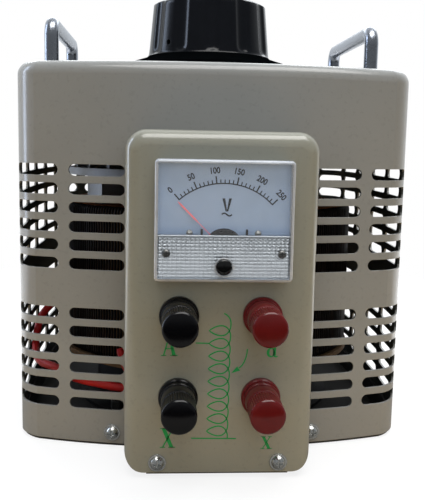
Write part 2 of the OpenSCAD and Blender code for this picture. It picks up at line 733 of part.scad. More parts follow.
module clamp_plate() color([0.30, 0.18, 0.10]) translate([0, 0, winding_z1]) difference() {
  cylinder(r = clamp_r, h = clamp_t);
  translate([0, 0, -1]) cylinder(r = bush_r + bush_seat, h = clamp_t + 2);
  at_rods() translate([0, 0, -1]) cylinder(r = rod_r + rod_clear, h = clamp_t + 2);
}

module clamp_rods() color(steel) at_rods() translate([0, 0, stand_z - stand_t - nut_h - rod_tail])
  cylinder(r = rod_r, h = clamp_z1 - stand_z + stand_t + 2 * (nut_h + rod_tail));

module clamp_nuts() color(steel) at_rods() {
  translate([0, 0, clamp_z1]) hex_nut(5.8, rod_r + bolt_clear, nut_h);
  translate([0, 0, stand_z - stand_t - nut_h]) hex_nut(5.8, rod_r + bolt_clear, nut_h);
}

module flanged_bush() rotate_extrude() polygon([[shaft_r + shaft_fit, -bush_len], [bush_r, -bush_len],
  [bush_r, 0], [bush_flange_r, 0], [bush_flange_r, bush_flange_t], [shaft_r + shaft_fit, bush_flange_t]]);

module upper_bush() color(brass) translate([0, 0, clamp_z1]) flanged_bush();

module lower_bush() color(brass) translate([0, 0, stand_z]) flanged_bush();

module travel_stop() color([0.25, 0.25, 0.26]) rotate([0, 0, gap_angle])
  translate([stop_r - stop_depth / 2, -stop_half_w, clamp_z1])
    cube([stop_depth, 2 * stop_half_w, arm_lift - stop_top_gap]);

// Bent strip that bears on the turning hub and carries the output current.
module collector_blade() color(brass) {
  y = -hub_r - blade_gap;
  t = 0.6;
  translate([-3, y - t, clamp_z1]) cube([17, t, arm_lift - 1.5]);
  translate([4, y - 9, clamp_z1]) cube([10, 9 - t, 1]);
}

module handle() {
  grip_z = casing_top + handle_h;
  half = handle_len / 2;
  for (my = [0, 1]) mirror([0, my, 0]) {
    translate([0, half, casing_top]) cylinder(r = handle_r, h = handle_h - handle_bend);
    translate([0, half - handle_bend, grip_z - handle_bend]) rotate([90, 0, 90])
      rotate_extrude(angle = 90) translate([handle_bend, 0]) circle(r = handle_r);
    translate([0, half, casing_top - casing_wall - 1 - nut_h - 1])
      cylinder(r = handle_stud_r, h = casing_wall + nut_h + 2);
  }
  translate([0, half - handle_bend, grip_z]) rotate([90, 0, 0])
    cylinder(r = handle_r, h = handle_len - 2 * handle_bend);
}

module handle_left() color(steel) translate([-handle_x, 0, 0]) handle();

module handle_right() color(steel) translate([handle_x, 0, 0]) handle();

module handle_nuts() color(steel) at_handle_ends() {
  translate([0, 0, -casing_wall - 1]) linear_extrude(1) difference() {
    circle(r = handle_stud_r + 3.5);
    circle(r = handle_stud_r + bolt_clear);
  }
  translate([0, 0, -casing_wall - 1 - nut_h]) hex_nut(handle_stud_r + 2.2, handle_stud_r + bolt_clear, nut_h);
}

module meter_body() color([0.10, 0.10, 0.11]) on_panel(0, meter_z) difference() {
  union() {
    linear_extrude(body_t) rounded_square(meter_w - 2 * cover_wall - 2 * cover_in,
      meter_h - 2 * cover_wall - 2 * cover_in, 1);
    translate([0, 0, -drum_depth]) cylinder(r = drum_r, h = drum_depth);
    for (x = [-1, 1]) {
      translate([x * (meter_w / 2 - 12), 8, body_t]) cylinder(r = 2, h = scale_z - body_t);
      translate([x * cover_screw_x, -cover_screw_drop, body_t]) cylinder(r = 2.6, h = mask_z - body_t);
    }
  }
  for (x = [-1, 1]) {
    translate([x * cover_screw_x, -cover_screw_drop, mask_z - cover_screw_grip - 1])
      cylinder(r = cover_screw_r + bolt_clear, h = cover_screw_grip + 2);
    translate([x * meter_stud_x, 0, -drum_depth - 1]) cylinder(r = meter_stud_r + bolt_clear, h = 7);
  }
}

module meter_movement() color([0.14, 0.14, 0.15]) on_panel(0, meter_z - pivot_drop) difference() {
  translate([0, 0, body_t]) cylinder(r = movement_r, h = movement_z1 - body_t);
  translate([0, 0, body_t + 1]) cylinder(r = staff_r + post_fit, h = movement_z1);
}

module scale_plate() color("white") on_panel(0, meter_z) translate([0, 0, scale_z])
  linear_extrude(plate_t) difference() {
  low = mask_drop + 3;
  high = meter_h / 2 - cover_wall - 0.6;
  translate([-meter_w / 2 + cover_wall + 0.6, -low]) square([meter_w - 2 * cover_wall - 1.2, low + high]);
  translate([0, -pivot_drop]) circle(r = movement_r + 0.4);
}

module meter_mask() color([0.8, 0.8, 0.8]) on_panel(0, meter_z) translate([0, 0, mask_z])
  linear_extrude(plate_t) difference() {
  high = meter_h / 2 - cover_wall - 0.6 - mask_drop;
  wide = meter_w - 2 * cover_wall - 1.2;
  translate([-wide / 2, -mask_drop - high]) square([wide, high]);
  for (x = [-1, 1]) translate([x * cover_screw_x, -cover_screw_drop])
    circle(r = cover_screw_r + 2 * bolt_clear);
  translate([0, -zero_drop]) circle(r = zero_r / 2 + 0.5);
}

module meter_cover() color([0.85, 0.9, 0.92, 0.4]) on_panel(0, meter_z) difference() {
  linear_extrude(meter_out) rounded_square(meter_w, meter_h, cover_corner_r);
  translate([0, 0, -1]) linear_extrude(meter_out - cover_wall + 1)
    rounded_square(meter_w - 2 * cover_wall, meter_h - 2 * cover_wall, cover_corner_r / 2);
  for (x = [-1, 1]) translate([x * cover_screw_x, -cover_screw_drop, 0])
    cylinder(r = cover_screw_r + 2 * bolt_clear, h = meter_out + 1);
  translate([0, -zero_drop, 0]) cylinder(r = zero_r + post_fit, h = meter_out + 1);
}

module meter_cover_screws() color([0.2, 0.2, 0.21]) on_panel(0, meter_z)
  for (x = [-1, 1]) translate([x * cover_screw_x, -cover_screw_drop, meter_out])
    pan_screw(cover_screw_r, 1.5 * cover_screw_r, 0.8 * cover_screw_r,
      meter_out - mask_z + cover_screw_grip);

module meter_studs() color(brass) on_panel(0, meter_z)
  for (x = [-1, 1]) translate([x * meter_stud_x, 0, -drum_depth - meter_stud_len])
    cylinder(r = meter_stud_r, h = meter_stud_len + 5);

module meter_nuts() color(brass) on_panel(0, meter_z)
  for (x = [-1, 1]) translate([x * meter_stud_x, 0, -drum_depth - meter_nut_h])
    hex_nut(2.1 * meter_stud_r, meter_stud_r + bolt_clear, meter_nut_h);

// Moulded base: flange and ring in front of the panel, spigot through it.
module post_base() rotate_extrude() polygon([[stud_r + bolt_clear, -panel_wall - insulator_t + 1],
  [spigot_post_r, -panel_wall - insulator_t + 1], [spigot_post_r, 0], [flange_r, 0], [flange_r, 2.4],
  [flange_r - 0.6, 3], [cap_r + 0.4, 3], [cap_r + 0.4, post_base_h - 0.5], [cap_r - 0.1, post_base_h],
  [stud_r + bolt_clear, post_base_h]]);

module post_bases_black() color(post_black) at_posts([-1]) post_base();

module post_bases_red() color(post_red) at_posts([1]) post_base();

module post_studs() color(brass) at_posts() translate([0, 0, -20])
  cylinder(r = stud_r, h = 20 + cap_z + insert_len - 0.5);

module post_insulators() color([0.12, 0.12, 0.12]) at_posts() translate([0, 0, rear_z])
  linear_extrude(insulator_t) difference() {
  circle(r = flange_r - 0.5);
  circle(r = post_hole_r);
}

module post_nuts() color(brass) at_posts() {
  translate([0, 0, rear_z - nut_h]) hex_nut(post_nut_r, stud_r + bolt_clear, nut_h);
  translate([0, 0, rear_z - 2 * nut_h - lug_t]) hex_nut(post_nut_r, stud_r + bolt_clear, nut_h);
}

// Ring tags between the two nuts, with their tails pointing down.
module post_lugs() color(brass) at_posts() translate([0, 0, rear_z - nut_h - lug_t])
  linear_extrude(lug_t) difference() {
  union() {
    circle(r = lug_r);
    translate([-lug_w / 2, -lug_tail]) square([lug_w, lug_tail]);
  }
  circle(r = stud_r + bolt_clear);
}

module power_leads() color([0.6, 0.05, 0.05]) {
  tube(smooth(tap_lead, 2), power_lead_r);
  tube(smooth(start_lead, 2), power_lead_r);
  tube(smooth(brush_lead, 2), power_lead_r, ref = [1, 0, 0]);
  tube(smooth(link_lead, 2), power_lead_r, ref = [0, 1, 0]);
}

module meter_leads() color([0.05, 0.05, 0.05]) {
  tube(smooth(plus_lead, 2), meter_lead_r, 6, [1, 0, 0]);
  tube(smooth(minus_lead, 2), meter_lead_r, 6, [1, 0, 0]);
}

module shaft() color(steel) translate([0, 0, stand_z - bush_len - collar_t - 1])
  cylinder(r = shaft_r, h = knob_z + knob_bore_h - 0.5 - (stand_z - bush_len - collar_t - 1));

module shaft_collar() color(steel) translate([0, 0, stand_z - bush_len - hub_gap - collar_t])
  linear_extrude(collar_t) difference() {
  circle(r = shaft_r + 5);
  circle(r = shaft_r + press_gap);
}

module rotor_hub() color([0.75, 0.75, 0.76]) difference() {
  union() {
    translate([0, 0, hub_z]) cylinder(r = hub_r, h = arm_z - hub_z);
    translate([0, 0, arm_z]) cylinder(r = spigot_r, h = spigot_h);
  }
  translate([0, 0, hub_z - 1]) cylinder(r = shaft_r + press_gap, h = far / 4);
  at_hub_screws() translate([0, 0, -arm_screw_len - 1])
    cylinder(r = arm_screw_r + bolt_clear, h = arm_screw_len + 2);
}

module at_hub_screws() for (a = [0:120:240]) rotate([0, 0, arm_angle + 60 + a])
  translate([(spigot_r + hub_r) / 2, 0, arm_z]) children();

module at_holder_screws() for (d = [-1, 1]) rotate([0, 0, arm_angle])
  translate([brush_r + d * (brush_w / 2 + brush_fit + holder_wall / 2), 0, arm_z]) children();

// Finned aluminium arm with the pin that meets the travel stop.
module brush_arm() color([0.72, 0.73, 0.74]) difference() {
  union() {
    translate([0, 0, arm_z]) linear_extrude(arm_t) {
      circle(r = hub_r + 2);
      rotate([0, 0, arm_angle]) intersection() {
        circle(r = arm_r);
        polygon([[0, 0], [far * cos(arm_half_angle), -far * sin(arm_half_angle)],
          [far * cos(arm_half_angle), far * sin(arm_half_angle)]]);
      }
    }
    for (f = [-3, -1, 1, 3]) rotate([0, 0, arm_angle + f * arm_half_angle / 4])
      translate([hub_r + 12, -fin_t / 2, arm_z + arm_t / 2])
        cube([arm_r - hub_r - 15, fin_t, fin_h + arm_t / 2]);
    rotate([0, 0, arm_angle]) translate([stop_r, 0, arm_z - pin_reach])
      cylinder(r = stop_pin_r, h = pin_reach + arm_t / 2);
  }
  translate([0, 0, arm_z - 1]) cylinder(r = spigot_r + bolt_clear, h = arm_t + 2);
  at_hub_screws() translate([0, 0, -1]) cylinder(r = arm_screw_r + bolt_clear, h = arm_t + 2);
  at_holder_screws() translate([0, 0, -1]) cylinder(r = holder_screw_r + bolt_clear, h = arm_t + 2);
}

module arm_screws() color(steel) {
  at_hub_screws() translate([0, 0, arm_t]) pan_screw(arm_screw_r, 1.8 * arm_screw_r, 1.2 * arm_screw_r,
    arm_t + arm_screw_len);
  at_holder_screws() translate([0, 0, arm_t]) pan_screw(holder_screw_r, 1.9 * holder_screw_r,
    1.3 * holder_screw_r, arm_t + holder_screw_len);
}

module brush_holder() color(brass) difference() {
  rotate([0, 0, arm_angle]) translate([brush_r, 0, holder_z]) linear_extrude(arm_z - holder_z) difference() {
    square([brush_w + 2 * (brush_fit + holder_wall), brush_l + 2 * (brush_fit + holder_wall)], center = true);
    square([brush_w + 2 * brush_fit, brush_l + 2 * brush_fit], center = true);
  }
  at_holder_screws() translate([0, 0, -holder_screw_len - 1])
    cylinder(r = holder_screw_r + bolt_clear, h = holder_screw_len + 2);
}

module brush_spring() color(steel) {
  z0 = winding_z1 + brush_lift + brush_h + 0.6;
  z1 = arm_z - 0.6;
  coils = 3;
  steps = 36;
  turn = 360 * coils / steps;
  rotate([0, 0, arm_angle]) translate([brush_r, 0, 0])
    tube([for (i = [0:steps]) ring_point(spring_r, turn * i, z0 + (z1 - z0) * i / steps)], spring_wire_r, 6);
}

module brush() color([0.12, 0.12, 0.13]) rotate([0, 0, arm_angle])
  translate([brush_r, 0, winding_z1 + brush_lift]) linear_extrude(brush_h)
    square([brush_w, brush_l], center = true);

// Fluted bakelite knob with a hollow skirt and a blind bore.
module knob() color(bakelite) translate([0, 0, knob_z]) difference() {
  shoulder_z = knob_h - 5.5;
  rotate_extrude() polygon([[shaft_r + knob_fit, 0], [shaft_r + 7, 0], [shaft_r + 7, skirt_h - 3],
    [knob_r - 5, skirt_h - 3], [skirt_r - 3, 2.5], [skirt_r - 3, 0], [skirt_r - 0.6, 0], [skirt_r, 0.6],
    [skirt_r, 3.2], [skirt_r - 0.6, 4], [knob_r + 1.2, skirt_h - 0.8], [knob_r, skirt_h],
    [knob_top_r, shoulder_z], [knob_top_r - 3, shoulder_z + 2.2], [knob_top_r - 9, knob_h],
    [0, knob_h], [0, knob_bore_h], [shaft_r + knob_fit, knob_bore_h]]);
  taper = atan2(knob_r - knob_top_r, shoulder_z - skirt_h);
  for (i = [0:flutes - 1]) rotate([0, 0, i * 360 / flutes])
    translate([knob_r + flute_r - flute_depth, 0, skirt_h + 2]) rotate([0, -taper, 0])
      cylinder(r = flute_r, h = knob_h);
  rotate([0, 0, set_screw_angle]) translate([shaft_r, 0, set_screw_z]) rotate([0, 90, 0])
    cylinder(r = set_screw_r + bolt_clear, h = knob_r);
}

module knob_set_screw() color(steel) translate([0, 0, knob_z + set_screw_z]) rotate([0, 0, set_screw_angle])
  translate([shaft_r + press_gap, 0, 0]) rotate([0, 90, 0]) difference() {
    cylinder(r = set_screw_r, h = set_screw_len);
    translate([-set_screw_r, -0.3, set_screw_len - 1]) cube([2 * set_screw_r, 0.6, 2]);
  }

// Pointer lying at zero on the dial, with its staff and balance tail.
module pointer() color([0.75, 0.10, 0.08]) on_panel(0, meter_z - pivot_drop) {
  translate([0, 0, pointer_z]) cylinder(r = 2.2, h = pointer_hub_h);
  translate([0, 0, body_t + 1.5]) cylinder(r = staff_r, h = pointer_z - body_t - 1);
  rotate([0, 0, 135]) translate([0, 0, pointer_z + 0.25]) linear_extrude(0.4) {
    polygon([[0, -0.7], [pointer_len, -0.22], [pointer_len, 0.22], [0, 0.7]]);
    translate([-6, -0.7]) square([6, 1.4]);
  }
}

module zero_screw() color([0.05, 0.05, 0.05]) on_panel(0, meter_z - zero_drop) difference() {
  union() {
    translate([0, 0, meter_out + 0.1]) cylinder(r = zero_head_r, h = 1.5);
    translate([0, 0, mask_z + plate_t + 0.3]) cylinder(r = zero_r, h = meter_out - mask_z - plate_t);
    translate([0, 0, mask_z - 0.8]) cylinder(r = zero_r / 2, h = 3);
  }
  translate([-zero_head_r, -0.5, meter_out + 0.9]) cube([2 * zero_head_r, 1, 2]);
}

function ridge_points(r, n, depth) = [for (i = [0:2 * n - 1])
  (i % 2 == 0 ? r : r - depth) * [cos(180 * i / n), sin(180 * i / n)]];

// Knurled cap with a smooth collar, a chamfered dished front and a blind bore for its insert.
module post_cap() difference() {
  intersection() {
    linear_extrude(cap_len) polygon(ridge_points(cap_r, cap_ridges, 0.45));
    rotate_extrude() polygon([[0, 0], [cap_r - 0.6, 0], [cap_r + 0.1, 0.7], [cap_r + 0.1, cap_len - 2.2],
      [cap_r - 1.1, cap_len], [cap_r - 2, cap_len], [cap_r - 2.6, cap_len - 0.4], [0, cap_len - 0.4]]);
  }
  translate([0, 0, -1]) cylinder(r = insert_r + post_fit, h = insert_len + 1.5);
}

module post_insert() linear_extrude(insert_len) difference() {
  circle(r = insert_r);
  circle(r = stud_r + post_fit);
}

module at_post(side, level) on_panel(side * post_x, post_z + level * post_dz)
  translate([0, 0, cap_z]) children();

module cap_upper_left() color(post_black) at_post(-1, 1) post_cap();

module cap_lower_left() color(post_black) at_post(-1, 0) post_cap();

module cap_upper_right() color(post_red) at_post(1, 1) post_cap();

module cap_lower_right() color(post_red) at_post(1, 0) post_cap();

module insert_upper_left() color(brass) at_post(-1, 1) post_insert();

module insert_lower_left() color(brass) at_post(-1, 0) post_insert();

module insert_upper_right() color(brass) at_post(1, 1) post_insert();

module insert_lower_right() color(brass) at_post(1, 0) post_insert();

base_plate();
casing();
front_panel();
casing_screws();
panel_screws();
screw_washers();
core_stand();
stand_nuts();
lower_pad();
core();
core_insulation();
winding();
clamp_plate();
clamp_rods();
clamp_nuts();
upper_bush();
lower_bush();
travel_stop();
collector_blade();
handle_left();
handle_right();
handle_nuts();
meter_body();
meter_movement();
scale_plate();
meter_mask();
meter_cover();
meter_cover_screws();
meter_studs();
meter_nuts();
post_bases_black();
post_bases_red();
post_studs();
post_insulators();
post_nuts();
post_lugs();
power_leads();
meter_leads();
shaft();
shaft_collar();
rotor_hub();
brush_arm();
arm_screws();
brush_holder();
brush_spring();
brush();
knob();
knob_set_screw();
pointer();
zero_screw();
cap_upper_left();
cap_lower_left();
cap_upper_right();
cap_lower_right();
insert_upper_left();
insert_lower_left();
insert_upper_right();
insert_lower_right();
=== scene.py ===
"""Looks of the bench variable transformer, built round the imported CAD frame.

Lengths of the object are in millimetres, and MM turns them into Blender's metres.
The floor, the lamps and their places are in metres.
"""
import math

import bmesh
import bpy
import numpy as np
from mathutils import Matrix, Vector


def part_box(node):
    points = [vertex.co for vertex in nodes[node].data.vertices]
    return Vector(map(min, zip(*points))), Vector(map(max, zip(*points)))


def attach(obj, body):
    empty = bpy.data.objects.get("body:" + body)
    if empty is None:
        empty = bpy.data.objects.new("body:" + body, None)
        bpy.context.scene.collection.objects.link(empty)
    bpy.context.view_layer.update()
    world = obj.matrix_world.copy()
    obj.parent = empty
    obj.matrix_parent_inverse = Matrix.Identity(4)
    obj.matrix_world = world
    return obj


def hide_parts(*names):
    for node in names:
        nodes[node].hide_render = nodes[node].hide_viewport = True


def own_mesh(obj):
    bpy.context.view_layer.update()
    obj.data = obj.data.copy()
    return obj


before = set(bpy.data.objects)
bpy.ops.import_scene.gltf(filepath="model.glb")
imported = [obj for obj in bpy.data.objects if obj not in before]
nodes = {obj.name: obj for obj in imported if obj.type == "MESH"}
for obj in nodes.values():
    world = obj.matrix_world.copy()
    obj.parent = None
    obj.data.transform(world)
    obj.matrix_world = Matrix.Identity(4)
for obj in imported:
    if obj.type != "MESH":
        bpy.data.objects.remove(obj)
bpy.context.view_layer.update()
MM = 0.001


def box(node):
    lo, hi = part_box(node)
    return np.array(lo) / MM, np.array(hi) / MM


# Driving places, read from the frame
panel_y = box("front_panel")[0][1]
cover_lo, cover_hi = box("meter_cover")
meter_z = (cover_lo[2] + cover_hi[2]) / 2
mask_lo, mask_hi = box("meter_mask")
knob_lo, knob_hi = box("knob")
winding_lo, winding_hi = box("winding")


# Node materials
def srgb(r, g, b):
    def lin(c):
        c /= 255
        return c / 12.92 if c <= 0.04045 else ((c + 0.055) / 1.055) ** 2.4
    return (lin(r), lin(g), lin(b), 1.0)


def shade(colour, k):
    return tuple(min(1.0, c * k) for c in colour[:3]) + (1.0,)


class Tree:
    """Short calls for the nodes of a material or of the world."""

    def __init__(self, tree):
        self.tree = tree

    def add(self, kind, sockets=(), **props):
        """A new node, with constants or links put on its sockets."""
        node = self.tree.nodes.new(kind)
        for key, value in props.items():
            setattr(node, key, value)
        for key, value in dict(sockets).items():
            self.plug(value, node.inputs[key])
        return node

    def plug(self, value, socket):
        if isinstance(value, bpy.types.NodeSocket):
            self.tree.links.new(value, socket)
        else:
            socket.default_value = value

    def maths(self, kind, a, b, clamp=False):
        return self.add("ShaderNodeMath", {0: a, 1: b}, operation=kind, use_clamp=clamp).outputs[0]

    def blend(self, fac, a, b):
        return self.add("ShaderNodeMixShader", {0: fac, 1: a, 2: b}).outputs[0]


class Look(Tree):
    """One material: its patterns and its surface."""

    def __init__(self, name, **sockets):
        self.mat = bpy.data.materials.new(name)
        self.mat.use_nodes = True
        super().__init__(self.mat.node_tree)
        self.bsdf = self.tree.nodes["Principled BSDF"]
        for key, value in sockets.items():
            self.bsdf.inputs[key.replace("_", " ")].default_value = value
        self.place = self.add("ShaderNodeTexCoord").outputs["Object"]

    def surface(self, shader):
        self.plug(shader, self.tree.nodes["Material Output"].inputs["Surface"])

    def to(self, name, value):
        self.plug(value, self.bsdf.inputs[name])

    def stretch(self, sx, sy, sz):
        return self.add("ShaderNodeMapping", {"Vector": self.place, "Scale": (sx, sy, sz)}).outputs["Vector"]

    def noise(self, scale, detail=3.0, rough=0.5, at=None):
        sockets = {"Vector": at or self.place, "Scale": scale, "Detail": detail, "Roughness": rough}
        return self.add("ShaderNodeTexNoise", sockets).outputs["Fac"]

    def ramp(self, fac, *stops):
        node = self.add("ShaderNodeValToRGB", {"Fac": fac})
        band = node.color_ramp
        while len(band.elements) < len(stops):
            band.elements.new(0.5)
        for element, (where, colour) in zip(band.elements, stops):
            element.position = where
            element.color = colour if isinstance(colour, tuple) else (colour, colour, colour, 1.0)
        return node.outputs["Color"]

    def mix(self, fac, a, b, mode="MIX"):
        sockets = {0: fac, 6: a, 7: b}
        return self.add("ShaderNodeMix", sockets, data_type="RGBA", blend_type=mode).outputs[2]

    def span(self, fac, lo, hi):
        return self.add("ShaderNodeMapRange", {"Value": fac, "To Min": lo, "To Max": hi}).outputs["Result"]

    def rounded(self, radius):
        return self.add("ShaderNodeBevel", {"Radius": radius * MM}, samples=4).outputs["Normal"]

    def edges(self, radius):
        """1 near a sharp edge, 0 elsewhere."""
        bent = self.rounded(radius)
        flat = self.add("ShaderNodeNewGeometry").outputs["Normal"]
        node = self.add("ShaderNodeVectorMath", {0: bent, 1: flat}, operation="DOT_PRODUCT")
        return self.ramp(node.outputs["Value"], (0.80, 1.0), (0.985, 0.0))

    def bump(self, height, strength, depth, normal=None):
        node = self.add("ShaderNodeBump", {"Strength": strength, "Distance": depth * MM, "Height": height})
        if normal is not None:
            self.plug(normal, node.inputs["Normal"])
        self.to("Normal", node.outputs["Normal"])

    def let_light_in(self, tint):
        """Lets lamps and bounced light pass, as thin clear plastic does."""
        path = self.add("ShaderNodeLightPath")
        lit = self.maths("MAXIMUM", path.outputs["Is Shadow Ray"], path.outputs["Is Diffuse Ray"])
        through = self.add("ShaderNodeBsdfTransparent", {"Color": tint})
        self.surface(self.blend(lit, self.bsdf.outputs[0], through.outputs[0]))


def enamel(name, colour, gloss, coat, edge=0.6, peel=0.05, inside=None, level=0.36, coat_rough=0.12):
    """Stoved enamel: uneven tone, faint rubs, orange peel, and lighter edges that are part wear and part
    painted highlight.
    """
    look = Look(name, Coat_Weight=coat, Coat_Roughness=coat_rough, Specular_IOR_Level=level)
    tone = look.ramp(look.noise(7, 4, 0.6), (0.30, shade(colour, 0.93)), (0.72, shade(colour, 1.06)))
    speck = look.ramp(look.noise(420, 2, 0.6), (0.32, 0.86), (0.42, 1.0), (0.66, 1.0), (0.76, 1.08))
    tone = look.mix(0.55, tone, speck, "MULTIPLY")
    rub = look.ramp(look.noise(26, 4, 0.7, look.stretch(0.5, 1, 2.6)), (0.60, 0.0), (0.85, 1.0))
    tone = look.mix(look.maths("MULTIPLY", rub, 0.05), tone, shade(colour, 1.3))
    # Sharp edges drawn lighter: part paint wear, part painted highlight
    tone = look.mix(look.maths("MULTIPLY", look.edges(edge), 0.32), tone, shade(colour, 1.75))
    if inside:
        # Faces that look towards the shaft axis take the inside colour, a painted shade for the closed
        # casing's inside, and lose their coat and specular
        sides = {0: look.add("ShaderNodeTexCoord").outputs["Normal"], 1: look.stretch(1, 1, 0)}
        facing = look.add("ShaderNodeVectorMath", sides, operation="DOT_PRODUCT")
        shaded_inner = look.maths("LESS_THAN", facing.outputs["Value"], -0.03)
        tone = look.mix(shaded_inner, tone, look.mix(0.5, inside, speck, "MULTIPLY"))
        outer = look.maths("SUBTRACT", 1.0, shaded_inner)
        look.to("Coat Weight", look.maths("MULTIPLY", outer, coat))
        look.to("Specular IOR Level", look.maths("MULTIPLY", outer, level))
    look.to("Base Color", tone)
    look.to("Roughness", look.maths("ADD", look.span(look.noise(60, 3), gloss - 0.05, gloss + 0.05),
                                    look.maths("MULTIPLY", rub, 0.03)))
    look.bump(look.noise(560, 2, 0.5), peel, 0.25, look.rounded(edge))
    return look.mat


def metal(name, colour, rough, grain=(1, 1, 1), scale=700, strength=0.06, tarnish=0.12, edge=0.25):
    """Plated or bare metal with a drawn grain, smudges and dulled patches."""
    look = Look(name, Metallic=1.0)
    patch = look.noise(46, 4, 0.6)
    tone = look.ramp(patch, (0.30, shade(colour, 1 - tarnish)), (0.70, shade(colour, 1.04)))
    line = look.noise(scale, 2, 0.5, look.stretch(*grain))
    tone = look.mix(0.22, tone, look.ramp(line, (0.35, 0.7), (0.65, 1.0)), "MULTIPLY")
    look.to("Base Color", tone)
    look.to("Roughness", look.maths("ADD", look.span(patch, rough * 0.75, rough * 1.25),
                                    look.maths("MULTIPLY", line, rough * 0.3)))
    look.bump(line, strength, 0.12, look.rounded(edge) if edge else None)
    return look.mat


def plastic(name, colour, rough, level, mottle=0.15, dust=0.0, edge=0.3):
    """Moulded plastic: mottled tone, fine moulding texture and a little dust."""
    look = Look(name, Specular_IOR_Level=level)
    tone = look.ramp(look.noise(120, 4, 0.65), (0.30, shade(colour, 1 - mottle)),
                     (0.70, shade(colour, 1 + mottle)))
    fleck = look.ramp(look.noise(900, 2, 0.6), (0.68, 0.0), (0.74, 1.0))
    tone = look.mix(look.maths("MULTIPLY", fleck, dust), tone, (0.5, 0.5, 0.5, 1.0))
    look.to("Base Color", tone)
    look.to("Roughness", look.span(look.noise(38, 4, 0.6), rough * 0.7, rough * 1.3))
    look.bump(look.noise(750, 2, 0.5), 0.04, 0.10, look.rounded(edge))
    return look.mat


def fibre(name, colour, scale=260, rough=0.75, stretch=(1, 1, 1)):
    """Pressed board, laminate or carbon: fibrous speckle with a dull face."""
    look = Look(name, Specular_IOR_Level=0.25)
    grain = look.noise(scale, 4, 0.7, look.stretch(*stretch))
    tone = look.ramp(grain, (0.28, shade(colour, 0.72)), (0.5, colour), (0.74, shade(colour, 1.22)))
    stain = look.ramp(look.noise(26, 3), (0.35, 0.82), (0.65, 1.0))
    look.to("Base Color", look.mix(0.6, tone, stain, "MULTIPLY"))
    look.to("Roughness", look.span(grain, rough - 0.1, rough + 0.1))
    look.bump(grain, 0.15, 0.2, look.rounded(0.2))
    return look.mat


def wire_enamel(name):
    """Varnished copper: brown coat over copper, held near black as painted shade of the casing's inside,
    darker here and there, bare on the brush track.
    """
    look = Look(name, Specular_IOR_Level=0.10)
    streak = look.noise(240, 3, 0.6, look.stretch(1, 1, 0.12))
    # Coat colours held near black: painted shade inside the casing
    tone = look.ramp(streak, (0.28, srgb(5, 4, 4)), (0.52, srgb(15, 11, 10)), (0.75, srgb(36, 27, 23)))
    height = look.add("ShaderNodeSeparateXYZ", {0: look.place})
    track = look.maths("GREATER_THAN", height.outputs["Z"], (winding_hi[2] - 0.35) * MM)
    look.to("Base Color", look.mix(track, tone, srgb(196, 124, 84)))
    look.to("Metallic", look.maths("MULTIPLY", track, 0.9))
    look.to("Roughness", look.span(streak, 0.28, 0.5))
    look.bump(look.noise(900, 2), 0.06, 0.08)
    return look.mat


def strip_core(name):
    """Wound steel strip: fine rings on the faces."""
    look = Look(name, Metallic=0.85)
    rings = look.add("ShaderNodeTexWave", {"Vector": look.place, "Scale": 420, "Distortion": 0.6},
                     wave_type="RINGS", rings_direction="Z")
    tone = look.ramp(rings.outputs["Fac"], (0.2, srgb(70, 72, 76)), (0.8, srgb(128, 131, 136)))
    look.to("Base Color", tone)
    look.to("Roughness", look.span(look.noise(80), 0.35, 0.6))
    look.bump(rings.outputs["Fac"], 0.25, 0.1, look.rounded(0.3))
    return look.mat


ACRYLIC_IOR = 1.46


def clear(name):
    """Clear moulded acrylic that lets the lamps through to the dial."""
    look = Look(name, Transmission_Weight=1.0, IOR=ACRYLIC_IOR, Roughness=0.03)
    tone = look.ramp(look.noise(60, 3), (0.3, (0.93, 0.95, 0.96, 1)), (0.7, (0.98, 0.99, 1.0, 1)))
    look.to("Base Color", tone)
    hair = look.noise(300, 2, 0.5, look.stretch(0.12, 1, 1.4))
    look.bump(look.ramp(hair, (0.70, 0.0), (0.74, 1.0)), 0.03, 0.03, look.rounded(0.5))
    look.let_light_in((0.95, 0.97, 0.98, 1))
    return look.mat


def milky(name):
    """The same acrylic where its walls stand edge on, given a pale colour as a painted sheen of the light
    they catch.
    """
    look = Look(name, Transmission_Weight=0.12, IOR=ACRYLIC_IOR, Specular_IOR_Level=0.6,
                Coat_Weight=0.6, Coat_Roughness=0.05)
    # Pale tone: painted sheen of light in the clear walls
    tone = look.ramp(look.noise(140, 3), (0.3, srgb(152, 157, 165)), (0.7, srgb(170, 175, 183)))
    look.to("Base Color", tone)
    look.to("Roughness", look.span(look.noise(60), 0.12, 0.24))
    look.let_light_in((0.80, 0.82, 0.84, 1))
    return look.mat


def paper(name, colour, rough):
    """Printed or painted thin surface with a slight tooth."""
    look = Look(name, Specular_IOR_Level=0.3)
    tone = look.ramp(look.noise(150, 4, 0.6), (0.3, shade(colour, 0.95)), (0.7, shade(colour, 1.04)))
    look.to("Base Color", tone)
    look.to("Roughness", look.span(look.noise(90), rough - 0.08, rough + 0.08))
    look.bump(look.noise(900, 2), 0.03, 0.05)
    return look.mat


# The casing's inside colour is painted shade on its inward faces
casing_paint = enamel("casing_enamel", srgb(125, 126, 124), gloss=0.34, coat=0.48, edge=0.5, peel=0.04,
                      inside=srgb(80, 83, 81))
panel_paint = enamel("panel_enamel", srgb(127, 127, 116), gloss=0.32, coat=0.75, peel=0.03, coat_rough=0.09)
base_paint = enamel("base_paint", srgb(58, 58, 58), gloss=0.7, coat=0.0, edge=0.4, level=0.06)
black_paint = enamel("black_paint", srgb(34, 34, 36), gloss=0.6, coat=0.0, edge=0.4, level=0.10)
